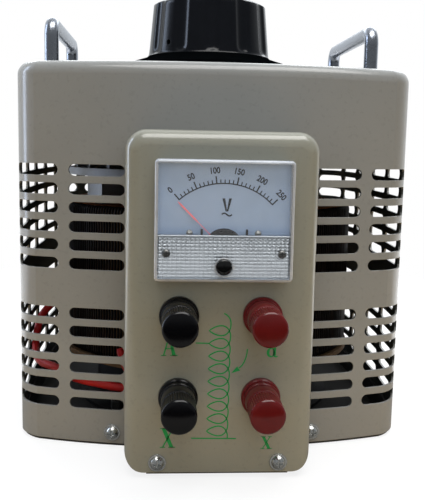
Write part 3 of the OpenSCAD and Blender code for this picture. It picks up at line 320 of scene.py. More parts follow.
# A darker copy of the bright zinc: painted shade for the zinc parts inside
zinc = metal("zinc_plate", srgb(150, 150, 147), 0.30, scale=520, strength=0.08, tarnish=0.2)
bright_zinc = metal("bright_zinc", srgb(214, 215, 213), 0.22, scale=520, strength=0.05)
steel = metal("turned_steel", srgb(168, 169, 171), 0.28, grain=(1, 1, 14), scale=420, strength=0.08)
chrome = metal("chrome_plate", srgb(156, 161, 170), 0.25, grain=(1, 0.1, 1), scale=900, strength=0.02,
               tarnish=0.08)
brass = metal("brass", srgb(196, 160, 86), 0.3, grain=(1, 6, 1), scale=420, strength=0.08)
alloy = metal("cast_aluminium", srgb(172, 173, 175), 0.5, scale=320, strength=0.25, tarnish=0.15)
dark_screw = metal("blackened_steel", srgb(128, 128, 126), 0.42, scale=600, strength=0.12, tarnish=0.3)
silver = metal("silver_foil", srgb(158, 161, 164), 0.32, scale=300, strength=0.0, tarnish=0.05, edge=0)
wire = wire_enamel("enamelled_wire")
core_steel = strip_core("strip_core")
board = fibre("pressed_board", srgb(96, 74, 50))
laminate = fibre("phenolic_laminate", srgb(104, 66, 42), scale=180, rough=0.45, stretch=(1, 1, 6))
carbon = fibre("brush_carbon", srgb(46, 46, 48), scale=500, rough=0.5)
# Black phenolic; its blue cast is a painted sheen of the bluish lamp light
knob_black = plastic("knob_phenolic", srgb(10, 12, 17), 0.20, level=0.20, dust=0.005, edge=0.5)
# A darker copy of the knob's phenolic for its skirt: painted shade on the upward-facing skirt
skirt_shaded_black = plastic("skirt_phenolic", srgb(4, 5, 6), 0.45, level=0.0, dust=0.003, edge=0.5)
post_black = plastic("post_black", srgb(3, 3, 5), 0.18, level=0.30, dust=0.004, edge=0.15)
post_red = plastic("post_red", srgb(80, 11, 12), 0.20, level=0.40, mottle=0.10, dust=0.010, edge=0.15)
base_black = plastic("post_base_black", srgb(5, 5, 6), 0.30, level=0.30, dust=0.006)
base_red = plastic("post_base_red", srgb(90, 15, 18), 0.32, level=0.36, mottle=0.10, dust=0.010)
black_moulding = plastic("black_moulding", srgb(26, 26, 28), 0.5, level=0.3, mottle=0.1, dust=0.05)
black_gloss = plastic("black_gloss", srgb(7, 7, 8), 0.08, level=0.5, mottle=0.1, edge=0.1)
red_lead = plastic("red_insulation", srgb(168, 26, 26), 0.45, level=0.3, mottle=0.12, dust=0.03)
black_lead = plastic("black_insulation", srgb(24, 24, 25), 0.5, level=0.3, mottle=0.1, dust=0.04)
cover_clear = clear("clear_acrylic")
cover_edge = milky("clear_edge")
# White dial paint; its blue cast is a painted reflection of the bluish window light
dial_white = paper("dial_face", srgb(150, 166, 192), 0.55)
# Pale bluish paint on the clear cover's inner walls: painted light in the clear acrylic
wall_painted_light = paper("cover_wall_light", srgb(186, 194, 206), 0.5)
dial_ink = paper("dial_ink", srgb(13, 16, 21), 0.6)
pointer_red = paper("pointer_paint", srgb(232, 118, 124), 0.45)
green_ink = paper("green_ink", srgb(22, 136, 70), 0.4)

finish = {
    casing_paint: ["casing"], panel_paint: ["front_panel"], base_paint: ["base_plate"],
    black_paint: ["core_stand"],
    bright_zinc: ["casing_screws", "panel_screws", "screw_washers"],
    zinc: ["stand_nuts", "clamp_rods", "clamp_nuts", "handle_nuts", "arm_screws", "knob_set_screw"],
    steel: ["shaft", "shaft_collar"], chrome: ["handle_left", "handle_right"],
    brass: ["upper_bush", "lower_bush", "collector_blade", "meter_studs", "meter_nuts",
            "post_studs", "post_nuts", "post_lugs", "insert_upper_left", "insert_lower_left",
            "insert_upper_right", "insert_lower_right"],
    alloy: ["rotor_hub", "brush_arm", "brush_holder"], dark_screw: ["meter_cover_screws"],
    core_steel: ["core"], board: ["lower_pad", "core_insulation"], laminate: ["clamp_plate", "travel_stop"],
    carbon: ["brush"],
    base_black: ["post_bases_black"], base_red: ["post_bases_red"],
    black_moulding: ["meter_body", "meter_movement", "post_insulators"],
    dial_white: ["scale_plate"],
}
for mat, names in finish.items():
    for name in names:
        node = nodes[name]
        if not node.material_slots:
            node.data.materials.append(mat)
        for place in node.material_slots:
            place.link = "OBJECT"
            place.material = mat


# Mesh helpers
def welded(name, verts, faces):
    """A mesh from points in millimetres, with equal points merged and faces turned outwards."""
    mesh = bpy.data.meshes.new(name)
    mesh.from_pydata([tuple(float(c) * MM for c in v) for v in verts], [], faces)
    work = bmesh.new()
    work.from_mesh(mesh)
    bmesh.ops.remove_doubles(work, verts=work.verts, dist=1e-7)
    bmesh.ops.recalc_face_normals(work, faces=work.faces)
    work.to_mesh(mesh)
    work.free()
    return mesh


def placed(name, mesh):
    obj = bpy.data.objects.new(name, mesh)
    bpy.context.scene.collection.objects.link(obj)
    return obj


def piece(name, verts, faces, mat, body, slot, replaces=(), sharp=35):
    """A new piece from points in millimetres, riding on a body, with edges sharp from an angle in degrees."""
    mesh = welded(name, verts, faces)
    mesh.polygons.foreach_set("use_smooth", [True] * len(mesh.polygons))
    mesh.set_sharp_from_angle(angle=math.radians(sharp))
    mesh.materials.append(mat)
    obj = placed(name, mesh)
    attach(obj, body)
    if replaces:
        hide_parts(*replaces)
    return obj


def grid_faces(rows, cols, wrap=True):
    """Quads over rows of points, each row closed on itself where wrap is set."""
    out = []
    for i in range(rows - 1):
        for k in range(cols if wrap else cols - 1):
            a, b = i * cols + k, i * cols + (k + 1) % cols
            out.append((a, b, b + cols, a + cols))
    return out


def closed_faces(rows, cols):
    """Quads over rows of points that close on themselves both ways, like a ring."""
    last = (rows - 1) * cols
    seam = [(last + k, last + (k + 1) % cols, (k + 1) % cols, k) for k in range(cols)]
    return grid_faces(rows, cols) + seam


def between(p, q, shares):
    """Points on the straight line from p to q, at shares of its length."""
    return [(p[0] + (q[0] - p[0]) * t, p[1] + (q[1] - p[1]) * t) for t in shares]


def lathe(profile, sides, radius=None):
    """Rings round the local z axis; radius(r, z, angle) may wave them. A radius of 0 closes an end."""
    verts = []
    for r, z in profile:
        for k in range(sides):
            a = 2 * math.pi * k / sides
            q = radius(r, z, a) if radius and r > 0 else r
            verts.append((q * math.cos(a), q * math.sin(a), z))
    return verts, grid_faces(len(profile), sides)


def on_panel(verts, x, z):
    """From a piece's own frame (right, up, out) to a place on the panel's face."""
    return [(x + a, panel_y - c, z + b) for a, b, c in verts]


def smooth_route(points, n):
    """A smooth line through the points, with n steps between each two."""
    p = [np.array(q, float) for q in points]
    m = len(p) - 1
    out = []
    for i in range(m):
        a, b, c, d = p[max(i - 1, 0)], p[i], p[i + 1], p[min(i + 2, m)]
        for k in range(n):
            t = k / n
            out.append(0.5 * (2 * b + (c - a) * t + (2 * a - 5 * b + 4 * c - d) * t * t
                              + (3 * b - a - 3 * c + d) * t ** 3))
    out.append(p[m])
    return out


def tube(points, r, sides):
    """A round closed tube along points."""
    verts, n = [], len(points)
    side = None
    for i in range(n):
        t = points[min(i + 1, n - 1)] - points[max(i - 1, 0)]
        t = t / np.linalg.norm(t)
        if side is None:
            side = np.cross(t, (0.3, 0.2, 0.9))
        side = side - t * np.dot(side, t)
        side = side / np.linalg.norm(side)
        other = np.cross(t, side)
        for k in range(sides):
            a = 2 * math.pi * k / sides
            verts.append(points[i] + r * (math.cos(a) * side + math.sin(a) * other))
    faces = grid_faces(n, sides)
    faces.append(tuple(range(sides))[::-1])
    faces.append(tuple((n - 1) * sides + k for k in range(sides)))
    return verts, faces


def join(*parts):
    """Several shapes, each points and faces, as one."""
    verts, faces = [], []
    for v, f in parts:
        base = len(verts)
        verts += list(v)
        faces += [tuple(i + base for i in face) for face in f]
    return verts, faces


def slab(outline, low, high):
    """A flat outline (right, up) standing from low to high out of the panel."""
    n = len(outline)
    verts = [(x, y, low) for x, y in outline] + [(x, y, high) for x, y in outline]
    faces = [tuple(range(n))[::-1], tuple(range(n, 2 * n))]
    faces += [(k, (k + 1) % n, n + (k + 1) % n, n + k) for k in range(n)]
    return verts, faces


def ribbon(points, width, low, high, ends=None):
    """A line of even or tapering width along flat points."""
    p = [np.array(q, float) for q in points]
    n = len(p)
    verts = []
    for i in range(n):
        t = p[min(i + 1, n - 1)] - p[max(i - 1, 0)]
        t = t / np.linalg.norm(t)
        w = width if ends is None else width + (ends - width) * i / (n - 1)
        across = np.array((-t[1], t[0])) * w / 2
        for side, out in ((1, low), (1, high), (-1, high), (-1, low)):
            verts.append((*(p[i] + side * across), out))
    return verts, grid_faces(n, 4) + [(3, 2, 1, 0), (4 * n - 4, 4 * n - 3, 4 * n - 2, 4 * n - 1)]


def cut_away(obj, tools, sharp):
    """Takes closed tool shapes, given as points and faces in millimetres, out of a piece."""
    cutters = []
    for points, faces in tools:
        cutter = placed("cutter", welded("cutter", points, faces))
        cutters.append(cutter)
        cut = obj.modifiers.new("cut", "BOOLEAN")
        cut.operation, cut.object, cut.solver = "DIFFERENCE", cutter, "EXACT"
    bpy.context.view_layer.update()
    bored = bpy.data.meshes.new_from_object(obj.evaluated_get(bpy.context.evaluated_depsgraph_get()))
    obj.modifiers.clear()
    obj.data = bored
    bored.set_sharp_from_angle(angle=math.radians(sharp))
    for cutter in cutters:
        bpy.data.objects.remove(cutter)


def drilled(obj, holes, sharp):
    """Takes round holes out of a piece: each is (place, direction, radius, length) in millimetres."""
    tools = []
    for place, direction, r, length in holes:
        v, f = lathe([(0.0, 0.0), (r, 0.0), (r, length), (0.0, length)], 24)
        turn = Vector(direction).to_track_quat("Z", "Y").to_matrix().to_4x4()
        put = Matrix.Translation(Vector(place)) @ turn
        tools.append(([put @ Vector(p) for p in v], f))
    cut_away(obj, tools, sharp)


def rounded_loop(w, h, r, n=5):
    """Points round a rectangle with rounded corners, centred on the origin."""
    out = []
    x, y = w / 2 - r, h / 2 - r
    for cx, cy, start in ((x, y, 0), (-x, y, 90), (-x, -y, 180), (x, -y, 270)):
        for k in range(n + 1):
            a = math.radians(start + 90 * k / n)
            out.append((cx + r * math.cos(a), cy + r * math.sin(a)))
    return out


# Winding: round varnished wire, one closed turn after another
TURNS, WIRE_R, WIRE_SIDES, RING_BORE = 250, 0.64, 6, 58.6
BEND, BEND_POINTS = 2.4, 4
ARC, GAP_AT = 330.0, -90.0
outer_r = max(winding_hi[0], -winding_lo[0]) - WIRE_R - BEND
inner_r = RING_BORE + WIRE_R + BEND
bottom_z, top_z = winding_lo[2] + WIRE_R + BEND, winding_hi[2] - WIRE_R - BEND
bends = ((outer_r, bottom_z, -90), (outer_r, top_z, 0), (inner_r, top_z, 90), (inner_r, bottom_z, 180))
section = []
for cx, cz, start in bends:
    for k in range(BEND_POINTS):
        a = math.radians(start + 90 / (BEND_POINTS - 1) * k)
        section.append((cx + BEND * math.cos(a), cz + BEND * math.sin(a), math.cos(a), math.sin(a)))
parts = []
for i in range(TURNS):
    turn = math.radians(GAP_AT + 180 - ARC / 2 + ARC * i / (TURNS - 1))
    ex, ey = math.cos(turn), math.sin(turn)
    verts = []
    for r, z, nr, nz in section:
        for k in range(WIRE_SIDES):
            a = 2 * math.pi * k / WIRE_SIDES
            rr, off = r + WIRE_R * math.cos(a) * nr, WIRE_R * math.sin(a)
            verts.append((rr * ex - off * ey, rr * ey + off * ex, z + WIRE_R * math.cos(a) * nz))
    parts.append((verts, closed_faces(len(section), WIRE_SIDES)))
piece("wound_wire", *join(*parts), wire, "case", "enamelled_copper", ["winding"], 60)

# Knob: fluted body on a conical skirt
SKIRT_R, KNOB_H = knob_hi[0], knob_hi[2] - knob_lo[2]
KNOB_R, TOP_R, SKIRT_H, CHAMFER = 38.2, 35.4, 10.0, 4.1
SHOULDER = KNOB_H - CHAMFER
FLUTES, FLUTE_R, FLUTE_D, FLUTE_STEPS = 12, 9.0, 1.6, 20
FLUTE_Z, FLUTE_END, FLUTE_SOFT, FLAT_R = SKIRT_H + 0.9, 4.2, 0.12, TOP_R - 9.5


def fluted(r, z, a):
    """The profile's radius, less a ball-ended flute that leans with the body's taper."""
    if z < FLUTE_Z or r < FLAT_R:
        return r
    step = 2 * math.pi / FLUTES
    off = abs((a + step / 2) % step - step / 2)
    lean = KNOB_R + (TOP_R - KNOB_R) * (z - SKIRT_H) / (SHOULDER - SKIRT_H)
    reach = lean + FLUTE_R - FLUTE_D
    inside = FLUTE_R ** 2 - (reach * math.sin(off)) ** 2
    if inside <= 0:
        return r
    run = min(1.0, (z - FLUTE_Z) / FLUTE_END)
    floor_r = reach * math.cos(off) - math.sqrt(inside) + FLUTE_D * (1 - math.sqrt(run * (2 - run)))
    if floor_r >= r + 0.6:
        return r
    return 0.5 * (r + floor_r - math.sqrt((r - floor_r) ** 2 + FLUTE_SOFT)) + 0.02


KNOB_BORE, BORE_END, BOSS_R, SKIRT_T = 6.02, 34.0, 13.0, 3
SMOOTH_KNOB = 50
profile = [(0.0, BORE_END), (KNOB_BORE, BORE_END), (KNOB_BORE, 0.4), (KNOB_BORE + 0.38, 0.0), (BOSS_R, 0.0),
           (BOSS_R, SKIRT_H - SKIRT_T), (KNOB_R - 5, SKIRT_H - SKIRT_T), (SKIRT_R - SKIRT_T, 2.5)]
profile += [(SKIRT_R - inward, z) for inward, z in (
    (SKIRT_T, 0.3), (2.7, 0.0), (0.7, 0.0), (0.2, 0.2), (0.0, 0.7), (0.0, 3.0), (0.25, 3.6), (0.9, 4.1))]
profile += between(profile[-1], (KNOB_R + 2.2, SKIRT_H - 1.4), (0.25, 0.5, 0.75, 1.0))
profile += [(KNOB_R + 1.2, SKIRT_H - 0.8), (KNOB_R + 0.5, SKIRT_H - 0.1), (KNOB_R + 0.1, SKIRT_H + 0.6)]
profile += between((KNOB_R, SKIRT_H + 1.2), (TOP_R, SHOULDER),
                   (0, 0.02, 0.04, 0.07, 0.1, 0.14, 0.2, 0.35, 0.5, 0.65, 0.8, 0.93, 1.0))
profile += [(TOP_R - inward, SHOULDER + CHAMFER * share) for inward, share in
            ((0.35, 0.11), (1.1, 0.21), (2, 0.30), (3, 0.40), (5, 0.60), (7, 0.80), (8.6, 0.955), (9.8, 1.0))]
profile += [(TOP_R - 13, KNOB_H - 0.2), (TOP_R - 14, KNOB_H - 0.6), (8, KNOB_H - 0.6), (0.0, KNOB_H - 0.6)]
verts, faces = lathe(profile, FLUTES * FLUTE_STEPS, fluted)
knob = piece("knob_fluted", [(x, y, z + knob_lo[2]) for x, y, z in verts], faces, knob_black,
             "rotor", "black_plastic", ["knob"], SMOOTH_KNOB)
knob.data.materials.append(skirt_shaded_black)
# Skirt faces take the darker copy: painted shade
for face in knob.data.polygons:
    face.material_index = 1 if face.center.z < (knob_lo[2] + SKIRT_H - 0.2) * MM else 0
SET_Z, SET_R, SET_FROM, SET_LENGTH = knob_lo[2] + SKIRT_H + 6, 1.6, 8, 37.0
SET_X, SET_Y = math.cos(math.radians(-133)), math.sin(math.radians(-133))
set_place = (SET_FROM * SET_X, SET_FROM * SET_Y, SET_Z)
drilled(knob, [(set_place, (SET_X, SET_Y, 0), SET_R, SET_LENGTH)], SMOOTH_KNOB)

# Post caps: smooth collar and groove, fine knurl, chamfer and a shallow domed front
RIDGES, RIDGE_D, RIDGE_STEPS, DOME, KNURL = 44, 0.55, 6, 0.95, 0.42
CAP_BORE, CAP_BORE_END, CAP_FACE = 5.05, 15.5, 0.8


def post_cap(name, face_mat, side_mat, slot):
    """One cap in place of its CAD node; the knurl starts at a share of its length."""
    lo, hi = box(f"cap_{name}")
    cap_r, cap_l, foot = (hi[0] - lo[0]) / 2, hi[1] - lo[1], panel_y - hi[1]
    edge, step, face_r = cap_l - DOME, KNURL * cap_l, cap_r - CAP_FACE

    def knurled(r, z, a):
        if r < cap_r - 0.7:
            return r
        rise = min(1.0, max(0.0, (z - step) / 0.4)) * min(1.0, max(0.0, (edge - 1.0 - z) / 0.5))
        return r - rise * RIDGE_D * (0.5 - 0.5 * math.cos(RIDGES * a)) ** 0.8

    profile = [(0.0, CAP_BORE_END), (CAP_BORE, CAP_BORE_END), (CAP_BORE, 0.25), (CAP_BORE + 0.25, 0.0)]
    profile += [(cap_r - inward, z) for inward, z in (
        (0.7, 0.0), (0.25, 0.15), (0.05, 0.5), (0.0, 1.4), (0.0, step - 1.9), (0.12, step - 1.5),
        (0.6, step - 1.25), (0.65, step - 0.6), (0.2, step - 0.2), (0.0, step), (0.0, step + 0.25),
        (0.0, step + 0.5), (0.0, cap_l * 0.7),
        (0.0, edge - 2.2), (0.0, edge - 1.5), (0.0, edge - 1.2), (0.0, edge - 0.95), (0.02, edge - 0.8),
        (0.1, edge - 0.62), (0.6, edge - 0.1), (0.7, edge - 0.02), (CAP_FACE, edge + 0.06))]
    profile += [(face_r * t, cap_l - (DOME - 0.06) * t * t) for t in (0.85, 0.65, 0.4, 0.2)] + [(0.0, cap_l)]
    verts, faces = lathe(profile, RIDGES * RIDGE_STEPS, knurled)
    verts = on_panel([(a, b, c + foot) for a, b, c in verts], (lo[0] + hi[0]) / 2, (lo[2] + hi[2]) / 2)
    cap = piece(f"knurled_cap_{name}", verts, faces, face_mat, f"cap_{name}", slot, [f"cap_{name}"], 30)
    cap.data.materials.append(side_mat)
    for face in cap.data.polygons:
        face.material_index = 0 if face.center.y < (panel_y - foot - edge + 0.7) * MM else 1


for level in ("upper", "lower"):
    post_cap(f"{level}_left", post_black, base_black, "black_plastic")
for level in ("upper", "lower"):
    post_cap(f"{level}_right", post_red, base_red, "red_plastic")

# Brush spring: a coil with closed ends
S_WIRE, S_COILS, S_END, S_STEPS, LIFT = 0.4, 5, 0.75, 24, 2.0
s_lo, s_hi = box("brush_spring")
s_mid, s_r, s_len = (s_lo + s_hi) / 2, (s_hi[0] - s_lo[0]) / 2 - S_WIRE, s_hi[2] - s_lo[2] - 2 * S_WIRE
coil = []
for k in range(S_COILS * S_STEPS + 1):
    turn = k / S_STEPS
    climb = min(max((turn - S_END) / (S_COILS - 2 * S_END), 0.0), 1.0)
    closed = min(turn, S_END) + max(turn - S_COILS + S_END, 0.0)
    rise = 2 * S_WIRE * closed + (s_len - 4 * S_END * S_WIRE) * climb
    a = 2 * math.pi * turn
    x, y = s_mid[0] + s_r * math.cos(a), s_mid[1] + s_r * math.sin(a)
    coil.append(np.array((x, y, s_lo[2] + S_WIRE + rise)))
spring = piece("brush_coil", *tube(coil, S_WIRE, 8), zinc, "rotor", "dark_steel", ["brush_spring"], 60)
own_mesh(spring)


# Leads, on the same routes as in the part's source
def ring_point(r, a, z):
    return [r * math.cos(math.radians(a)), r * math.sin(math.radians(a)), z]


def square_end(p, reach, rest):
    """A route that leaves its lug square, as in the part's source."""
    return [p, [p[0] + (rest[0][0] - p[0]) / 9, p[1] + reach, p[2] + (rest[0][2] - p[2]) / 9]] + rest


def leads(name, routes, r, sides, mat, slot, node):
    """Insulated wires along routes, in place of a CAD node."""
    shape = join(*[tube(smooth_route(route, LEAD_STEPS), r, sides) for route in routes])
    piece(name, *shape, mat, "case", slot, [node], 60)


FRONT, SIDE, STAND, OVER, MID = -108.3, 108.3, 35.5, 133.2, -103.95
LEAD_R, THIN_R, LEAD_STEPS, LUG_REACH = 2.3, 0.8, 6, 4
power = [
    square_end([-20, -134.4, 69.5], LUG_REACH, [
        [-21.5, -124, 57], [-23.5, FRONT - 0.7, STAND + 7.5], [-36, FRONT + 7.8, STAND - 2.5],
        [-48, FRONT + 10.1, STAND - 5], [-61, FRONT + 11.3, STAND - 3.3],
        [33.3 - SIDE, FRONT + 15.8, STAND - 1.2], [20.8 - SIDE, FRONT + 30.3, STAND + 0.2],
        [9.6 - SIDE, FRONT + 44.3, STAND + 0.5], [4.6 - SIDE, FRONT + 62.3, STAND + 3.5],
        [4.4 - SIDE, FRONT + 70.3, STAND + 12.5],
        ring_point(105.6, 197.6, STAND + 22), ring_point(95.2, 196.5, STAND + 31)]),
    square_end([-20, -134.4, 31.4], LUG_REACH, [
        [-21, -123, 28], [-23.5, FRONT - 0.7, 25], [-33, FRONT + 7.3, 26], ring_point(99.9, 245, STAND - 4.5),
        ring_point(97.4, 240, STAND + 4.5), ring_point(95.2, 237.5, STAND + 11.5)]),
    square_end([20, -134.4, 69.5], LUG_REACH, [
        [17, -124, 71], [12, MID - 9, 84], [8, MID - 1.5, 104], [7, MID + 1.5, 122], [8, -92, 131.5],
        [11, -78, OVER], [11.5, -58, OVER], [11, -38, OVER], [10.5, -29, OVER + 1], [10, -22, OVER + 1.1]]),
    [[20, -135.3, 26.6], [19.6, -135.2, 23.8], [16.4, -134.4, 20.2], [8, -133, 18.4],
     [-8, -133, 18.4], [-16.4, -134.4, 20.2], [-19.6, -135.2, 23.8], [-20, -135.3, 26.6]],
]
leads("red_leads", power, LEAD_R, 14, red_lead, "red_lead", "power_leads")
thin = [
    [[14, -105.8, 127], [14.2, -104.3, 126.4], [16, -103, 122], [25, -109, 102],
     [29.5, -121, 88], [30.5, -130, 76], [28, -135, 69.5], [22.8, -135.3, 68]],
    [[-14, -105.8, 127], [-14.2, -104.3, 126.3], [-16, -103, 121], [-6, -110, 95],
     [2, -119, 62], [7, -129, 43], [10.5, -134.5, 33], [17.2, -135.3, 30]],
]
leads("black_leads", thin, THIN_R, 10, black_lead, "black_lead", "meter_leads")

# Meter mask: silver foil pressed into small pillows, fuller towards the top, with a bright lip
C_WALL, SEAM = 1.5, 0.06
LIP_H, LIP_OUT, LIP_STEPS = 1.1, 0.85, 8
COLS, PILLOW, RAISE, PILLOW_STEPS = 29, 1.55, 0.52, 6
zero_z, zero_r = meter_z - 20.9, 1.5
mx0, mx1 = cover_lo[0] + C_WALL + SEAM, cover_hi[0] - C_WALL - SEAM
mz0, mz1 = cover_lo[2] + C_WALL + SEAM, mask_hi[2]
m_back, m_face = panel_y - mask_hi[1], panel_y - mask_lo[1]
foil = m_face - 0.35
rows = int(round((mz1 - mz0 - LIP_H) / PILLOW))
wide, tall = (mx1 - mx0) / COLS, (mz1 - LIP_H - mz0) / rows
parts = []
for i in range(COLS):
    for j in range(rows):
        x0, z0 = mx0 + i * wide, mz0 + j * tall
        if math.hypot(x0 + wide / 2, z0 + tall / 2 - zero_z) < zero_r + 0.4:
            continue
        lift = RAISE * (0.3 + 0.7 * (j / (rows - 1)) ** 1.5)
        verts = []
        for q in range(PILLOW_STEPS + 1):
            for p in range(PILLOW_STEPS + 1):
                u, w = 2 * p / PILLOW_STEPS - 1, 2 * q / PILLOW_STEPS - 1
                swell = lift * (1 - abs(u) ** 3) * (1 - abs(w) ** 3)
                verts.append((x0 + wide * p / PILLOW_STEPS, z0 + tall * q / PILLOW_STEPS, foil + swell))
        parts.append((verts, grid_faces(PILLOW_STEPS + 1, PILLOW_STEPS + 1, False)))
verts, faces = lathe([(zero_r, foil + 0.05), (zero_r + 1.9, foil)], 32)
parts.append(([(a, b + zero_z, c) for a, b, c in verts], faces))
rim = [(mx0, mz0), (mx1, mz0), (mx1, mz1), (mx0, mz1)]
parts.append(([(x, z, out) for out in (m_back, foil) for x, z in rim], grid_faces(2, 4)))
lip = []
for k in range(LIP_STEPS + 1):
    a = math.pi * k / LIP_STEPS
    lip.append((mz1 - LIP_H / 2 + LIP_H / 2 * math.cos(a), foil + LIP_OUT * math.sin(a)))
parts.append(([(x, z, c) for x in (mx0, mx1) for z, c in lip], grid_faces(2, LIP_STEPS + 1, False)))
verts, faces = join(*parts)
piece("pressed_mask", on_panel(verts, 0, 0), faces, silver, "case", "silver_mask", ["meter_mask"], 60)

# Clear cover: a moulded lid with rounded edges, painted pale on its edge faces and inner walls as painted
# light in the clear acrylic
C_FILLET, C_CORNER, C_SHARP = 1.5, 2.0, 30
CLEAR, EDGE, WALL = 0, 1, 2
c_w, c_h = cover_hi[0] - cover_lo[0], cover_hi[2] - cover_lo[2]
c_out, c_back = panel_y - cover_lo[1], panel_y - cover_hi[1]
loops = [(C_WALL, c_back), (0.0, c_back), (0.0, c_out - C_FILLET)]
for t in (22.5, 45, 67.5, 90):
    a = math.radians(t)
    loops.append((C_FILLET * (1 - math.cos(a)), c_out - C_FILLET + C_FILLET * math.sin(a)))
loops.append((C_WALL, c_out - C_WALL))
verts = []
for inset, out in loops:
    outline = rounded_loop(c_w - 2 * inset, c_h - 2 * inset, max(0.5, C_CORNER - inset))
    verts += [(x, z, out) for x, z in outline]
n, outer = len(outline), len(loops) - 1
faces = grid_faces(outer, n)
faces += [(outer * n + k, outer * n + (k + 1) % n, (k + 1) % n, k) for k in range(n)]
faces += [tuple((outer - 1) * n + k for k in range(n)), tuple(outer * n + k for k in range(n))[::-1]]
cover = piece("cover_moulding", on_panel(verts, 0, meter_z), faces, cover_clear,
              "case", "clear_cover", ["meter_cover"], C_SHARP)
cover.data.materials.append(cover_edge)
cover.data.materials.append(wall_painted_light)
# Edge faces and inner walls take the pale copies: painted light in the clear walls
for face in cover.data.polygons:
    centre = Vector((face.center.x, 0, face.center.z - meter_z * MM))
    if abs(face.normal.y) > 0.99 and face.area > 1e-4:
        face.material_index = CLEAR
    else:
        face.material_index = WALL if abs(face.normal.y) < 0.1 and face.normal.dot(centre) < 0 else EDGE
screw_lo, screw_hi = box("meter_cover_screws")
screw_x, screw_z = screw_hi[0] - (screw_hi[2] - screw_lo[2]) / 2, (screw_lo[2] + screw_hi[2]) / 2
SCREW_HOLE, ZERO_HOLE, HOLE_LENGTH = 1.4, 2.1, 4.0
holes = ((-screw_x, screw_z, SCREW_HOLE), (screw_x, screw_z, SCREW_HOLE), (0, zero_z, ZERO_HOLE))
drilled(cover, [((x, panel_y - c_out - 1, z), (0, 1, 0), r, HOLE_LENGTH) for x, z, r in holes], C_SHARP)

# Border of the dial, out to the cover's walls
plate_lo, plate_hi = box("scale_plate")
dial_out = panel_y - plate_lo[1]
BORDER, BORDER_GAP = (dial_out - 0.4, dial_out - 0.02), 0.05
bx, bz0, bz1 = cover_hi[0] - C_WALL - BORDER_GAP, plate_lo[2], cover_hi[2] - C_WALL - BORDER_GAP
parts = []
for s in (-1, 1):
    strip = [(s * plate_hi[0], bz0), (s * bx, bz0), (s * bx, bz1), (s * plate_hi[0], bz1)]
    parts.append(slab(strip[::s], *BORDER))
strip = [(plate_lo[0], plate_hi[2]), (plate_hi[0], plate_hi[2]), (plate_hi[0], bz1), (plate_lo[0], bz1)]
parts.append(slab(strip, *BORDER))
verts, faces = join(*parts)
piece("dial_border", on_panel(verts, 0, 0), faces, dial_white, "case", "dial_white", (), 30)

# Dial print: arc, ticks, numbers and the unit
INK = (dial_out + 0.02, dial_out + 0.07)
ARC_X, ARC_Z, ARC_R, ARC_A, ARC_TILT = -0.2, meter_z - 14.2, 31.2, 43.4, 2.2
ARC_W, ARC_STEPS, TICKS, MAJOR_EVERY = 0.55, 48, 25, 5
MAJOR_L, MAJOR_W, MINOR_L, MINOR_W = 3.4, 0.64, 1.8, 0.5
NUMBER_R, NUMBER_SIZE, NUMBER_NARROW, NUMBER_BOLD, NUMBER_T, NUMBER_STEP = 37.1, 3.85, 0.86, 0.12, 0.025, 50
UNIT_X, UNIT_Z, UNIT_H, UNIT_W = 1.15, meter_z + 4.2, 6.0, 2.2


def dial_point(r, a):
    t = math.radians(a + ARC_TILT)
    return (ARC_X + r * math.sin(t), ARC_Z + r * math.cos(t))


arc = [dial_point(ARC_R, -ARC_A + 2 * ARC_A * k / ARC_STEPS) for k in range(ARC_STEPS + 1)]
parts = [ribbon(arc, ARC_W, *INK)]
for k in range(TICKS + 1):
    a = -ARC_A + 2 * ARC_A * k / TICKS
    length, width = (MAJOR_L, MAJOR_W) if k % MAJOR_EVERY == 0 else (MINOR_L, MINOR_W)
    parts.append(ribbon([dial_point(ARC_R - 0.2, a), dial_point(ARC_R + length, a)], width, *INK))
tilde = [(UNIT_X + 2.4 * t, meter_z + 2.8 - 0.62 * math.sin(math.pi * t)) for t in np.linspace(-1, 1, 17)]
parts.append(ribbon(tilde, 0.68, *INK))
for s in (-1, 1):
    parts.append(slab([(UNIT_X + s * UNIT_W, UNIT_Z + UNIT_H), (UNIT_X + s * (UNIT_W - 1.3), UNIT_Z + UNIT_H),
                       (UNIT_X - s * 0.1, UNIT_Z), (UNIT_X + s * 0.6, UNIT_Z)], *INK))
verts, faces = join(*parts)
piece("dial_print", on_panel(verts, 0, 0), faces, dial_ink, "case", "dial_white", (), 30)


def dial_number(number, x, z, tilt):
    """Flat narrow type as a mesh, centred at a place on the dial and turned by a tilt."""
    name = f"dial_number_{number}"
    curve = bpy.data.curves.new(name, "FONT")
    curve.body, curve.size, curve.align_x, curve.align_y = str(number), NUMBER_SIZE * MM, "CENTER", "CENTER"
    curve.offset, curve.extrude = NUMBER_BOLD * MM, NUMBER_T * MM
    holder = placed(name + "_type", curve)
    bpy.context.view_layer.update()
    mesh = bpy.data.meshes.new_from_object(holder.evaluated_get(bpy.context.evaluated_depsgraph_get()))
    bpy.data.objects.remove(holder)
    put = Matrix.Translation((x * MM, (panel_y - INK[0] - 0.03) * MM, z * MM))
    turn = Matrix.Rotation(math.radians(tilt), 4, "Y") @ Matrix.Rotation(math.pi / 2, 4, "X")
    mesh.transform(put @ turn @ Matrix.Diagonal((NUMBER_NARROW, 1, 1, 1)))
    mesh.materials.clear()
    mesh.materials.append(dial_ink)
    obj = placed(name, mesh)
    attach(obj, "case")


for k in range(TICKS // MAJOR_EVERY + 1):
    a = -ARC_A + 2 * ARC_A * k * MAJOR_EVERY / TICKS
    dial_number(NUMBER_STEP * k, *dial_point(NUMBER_R, a - 0.5), a + ARC_TILT)

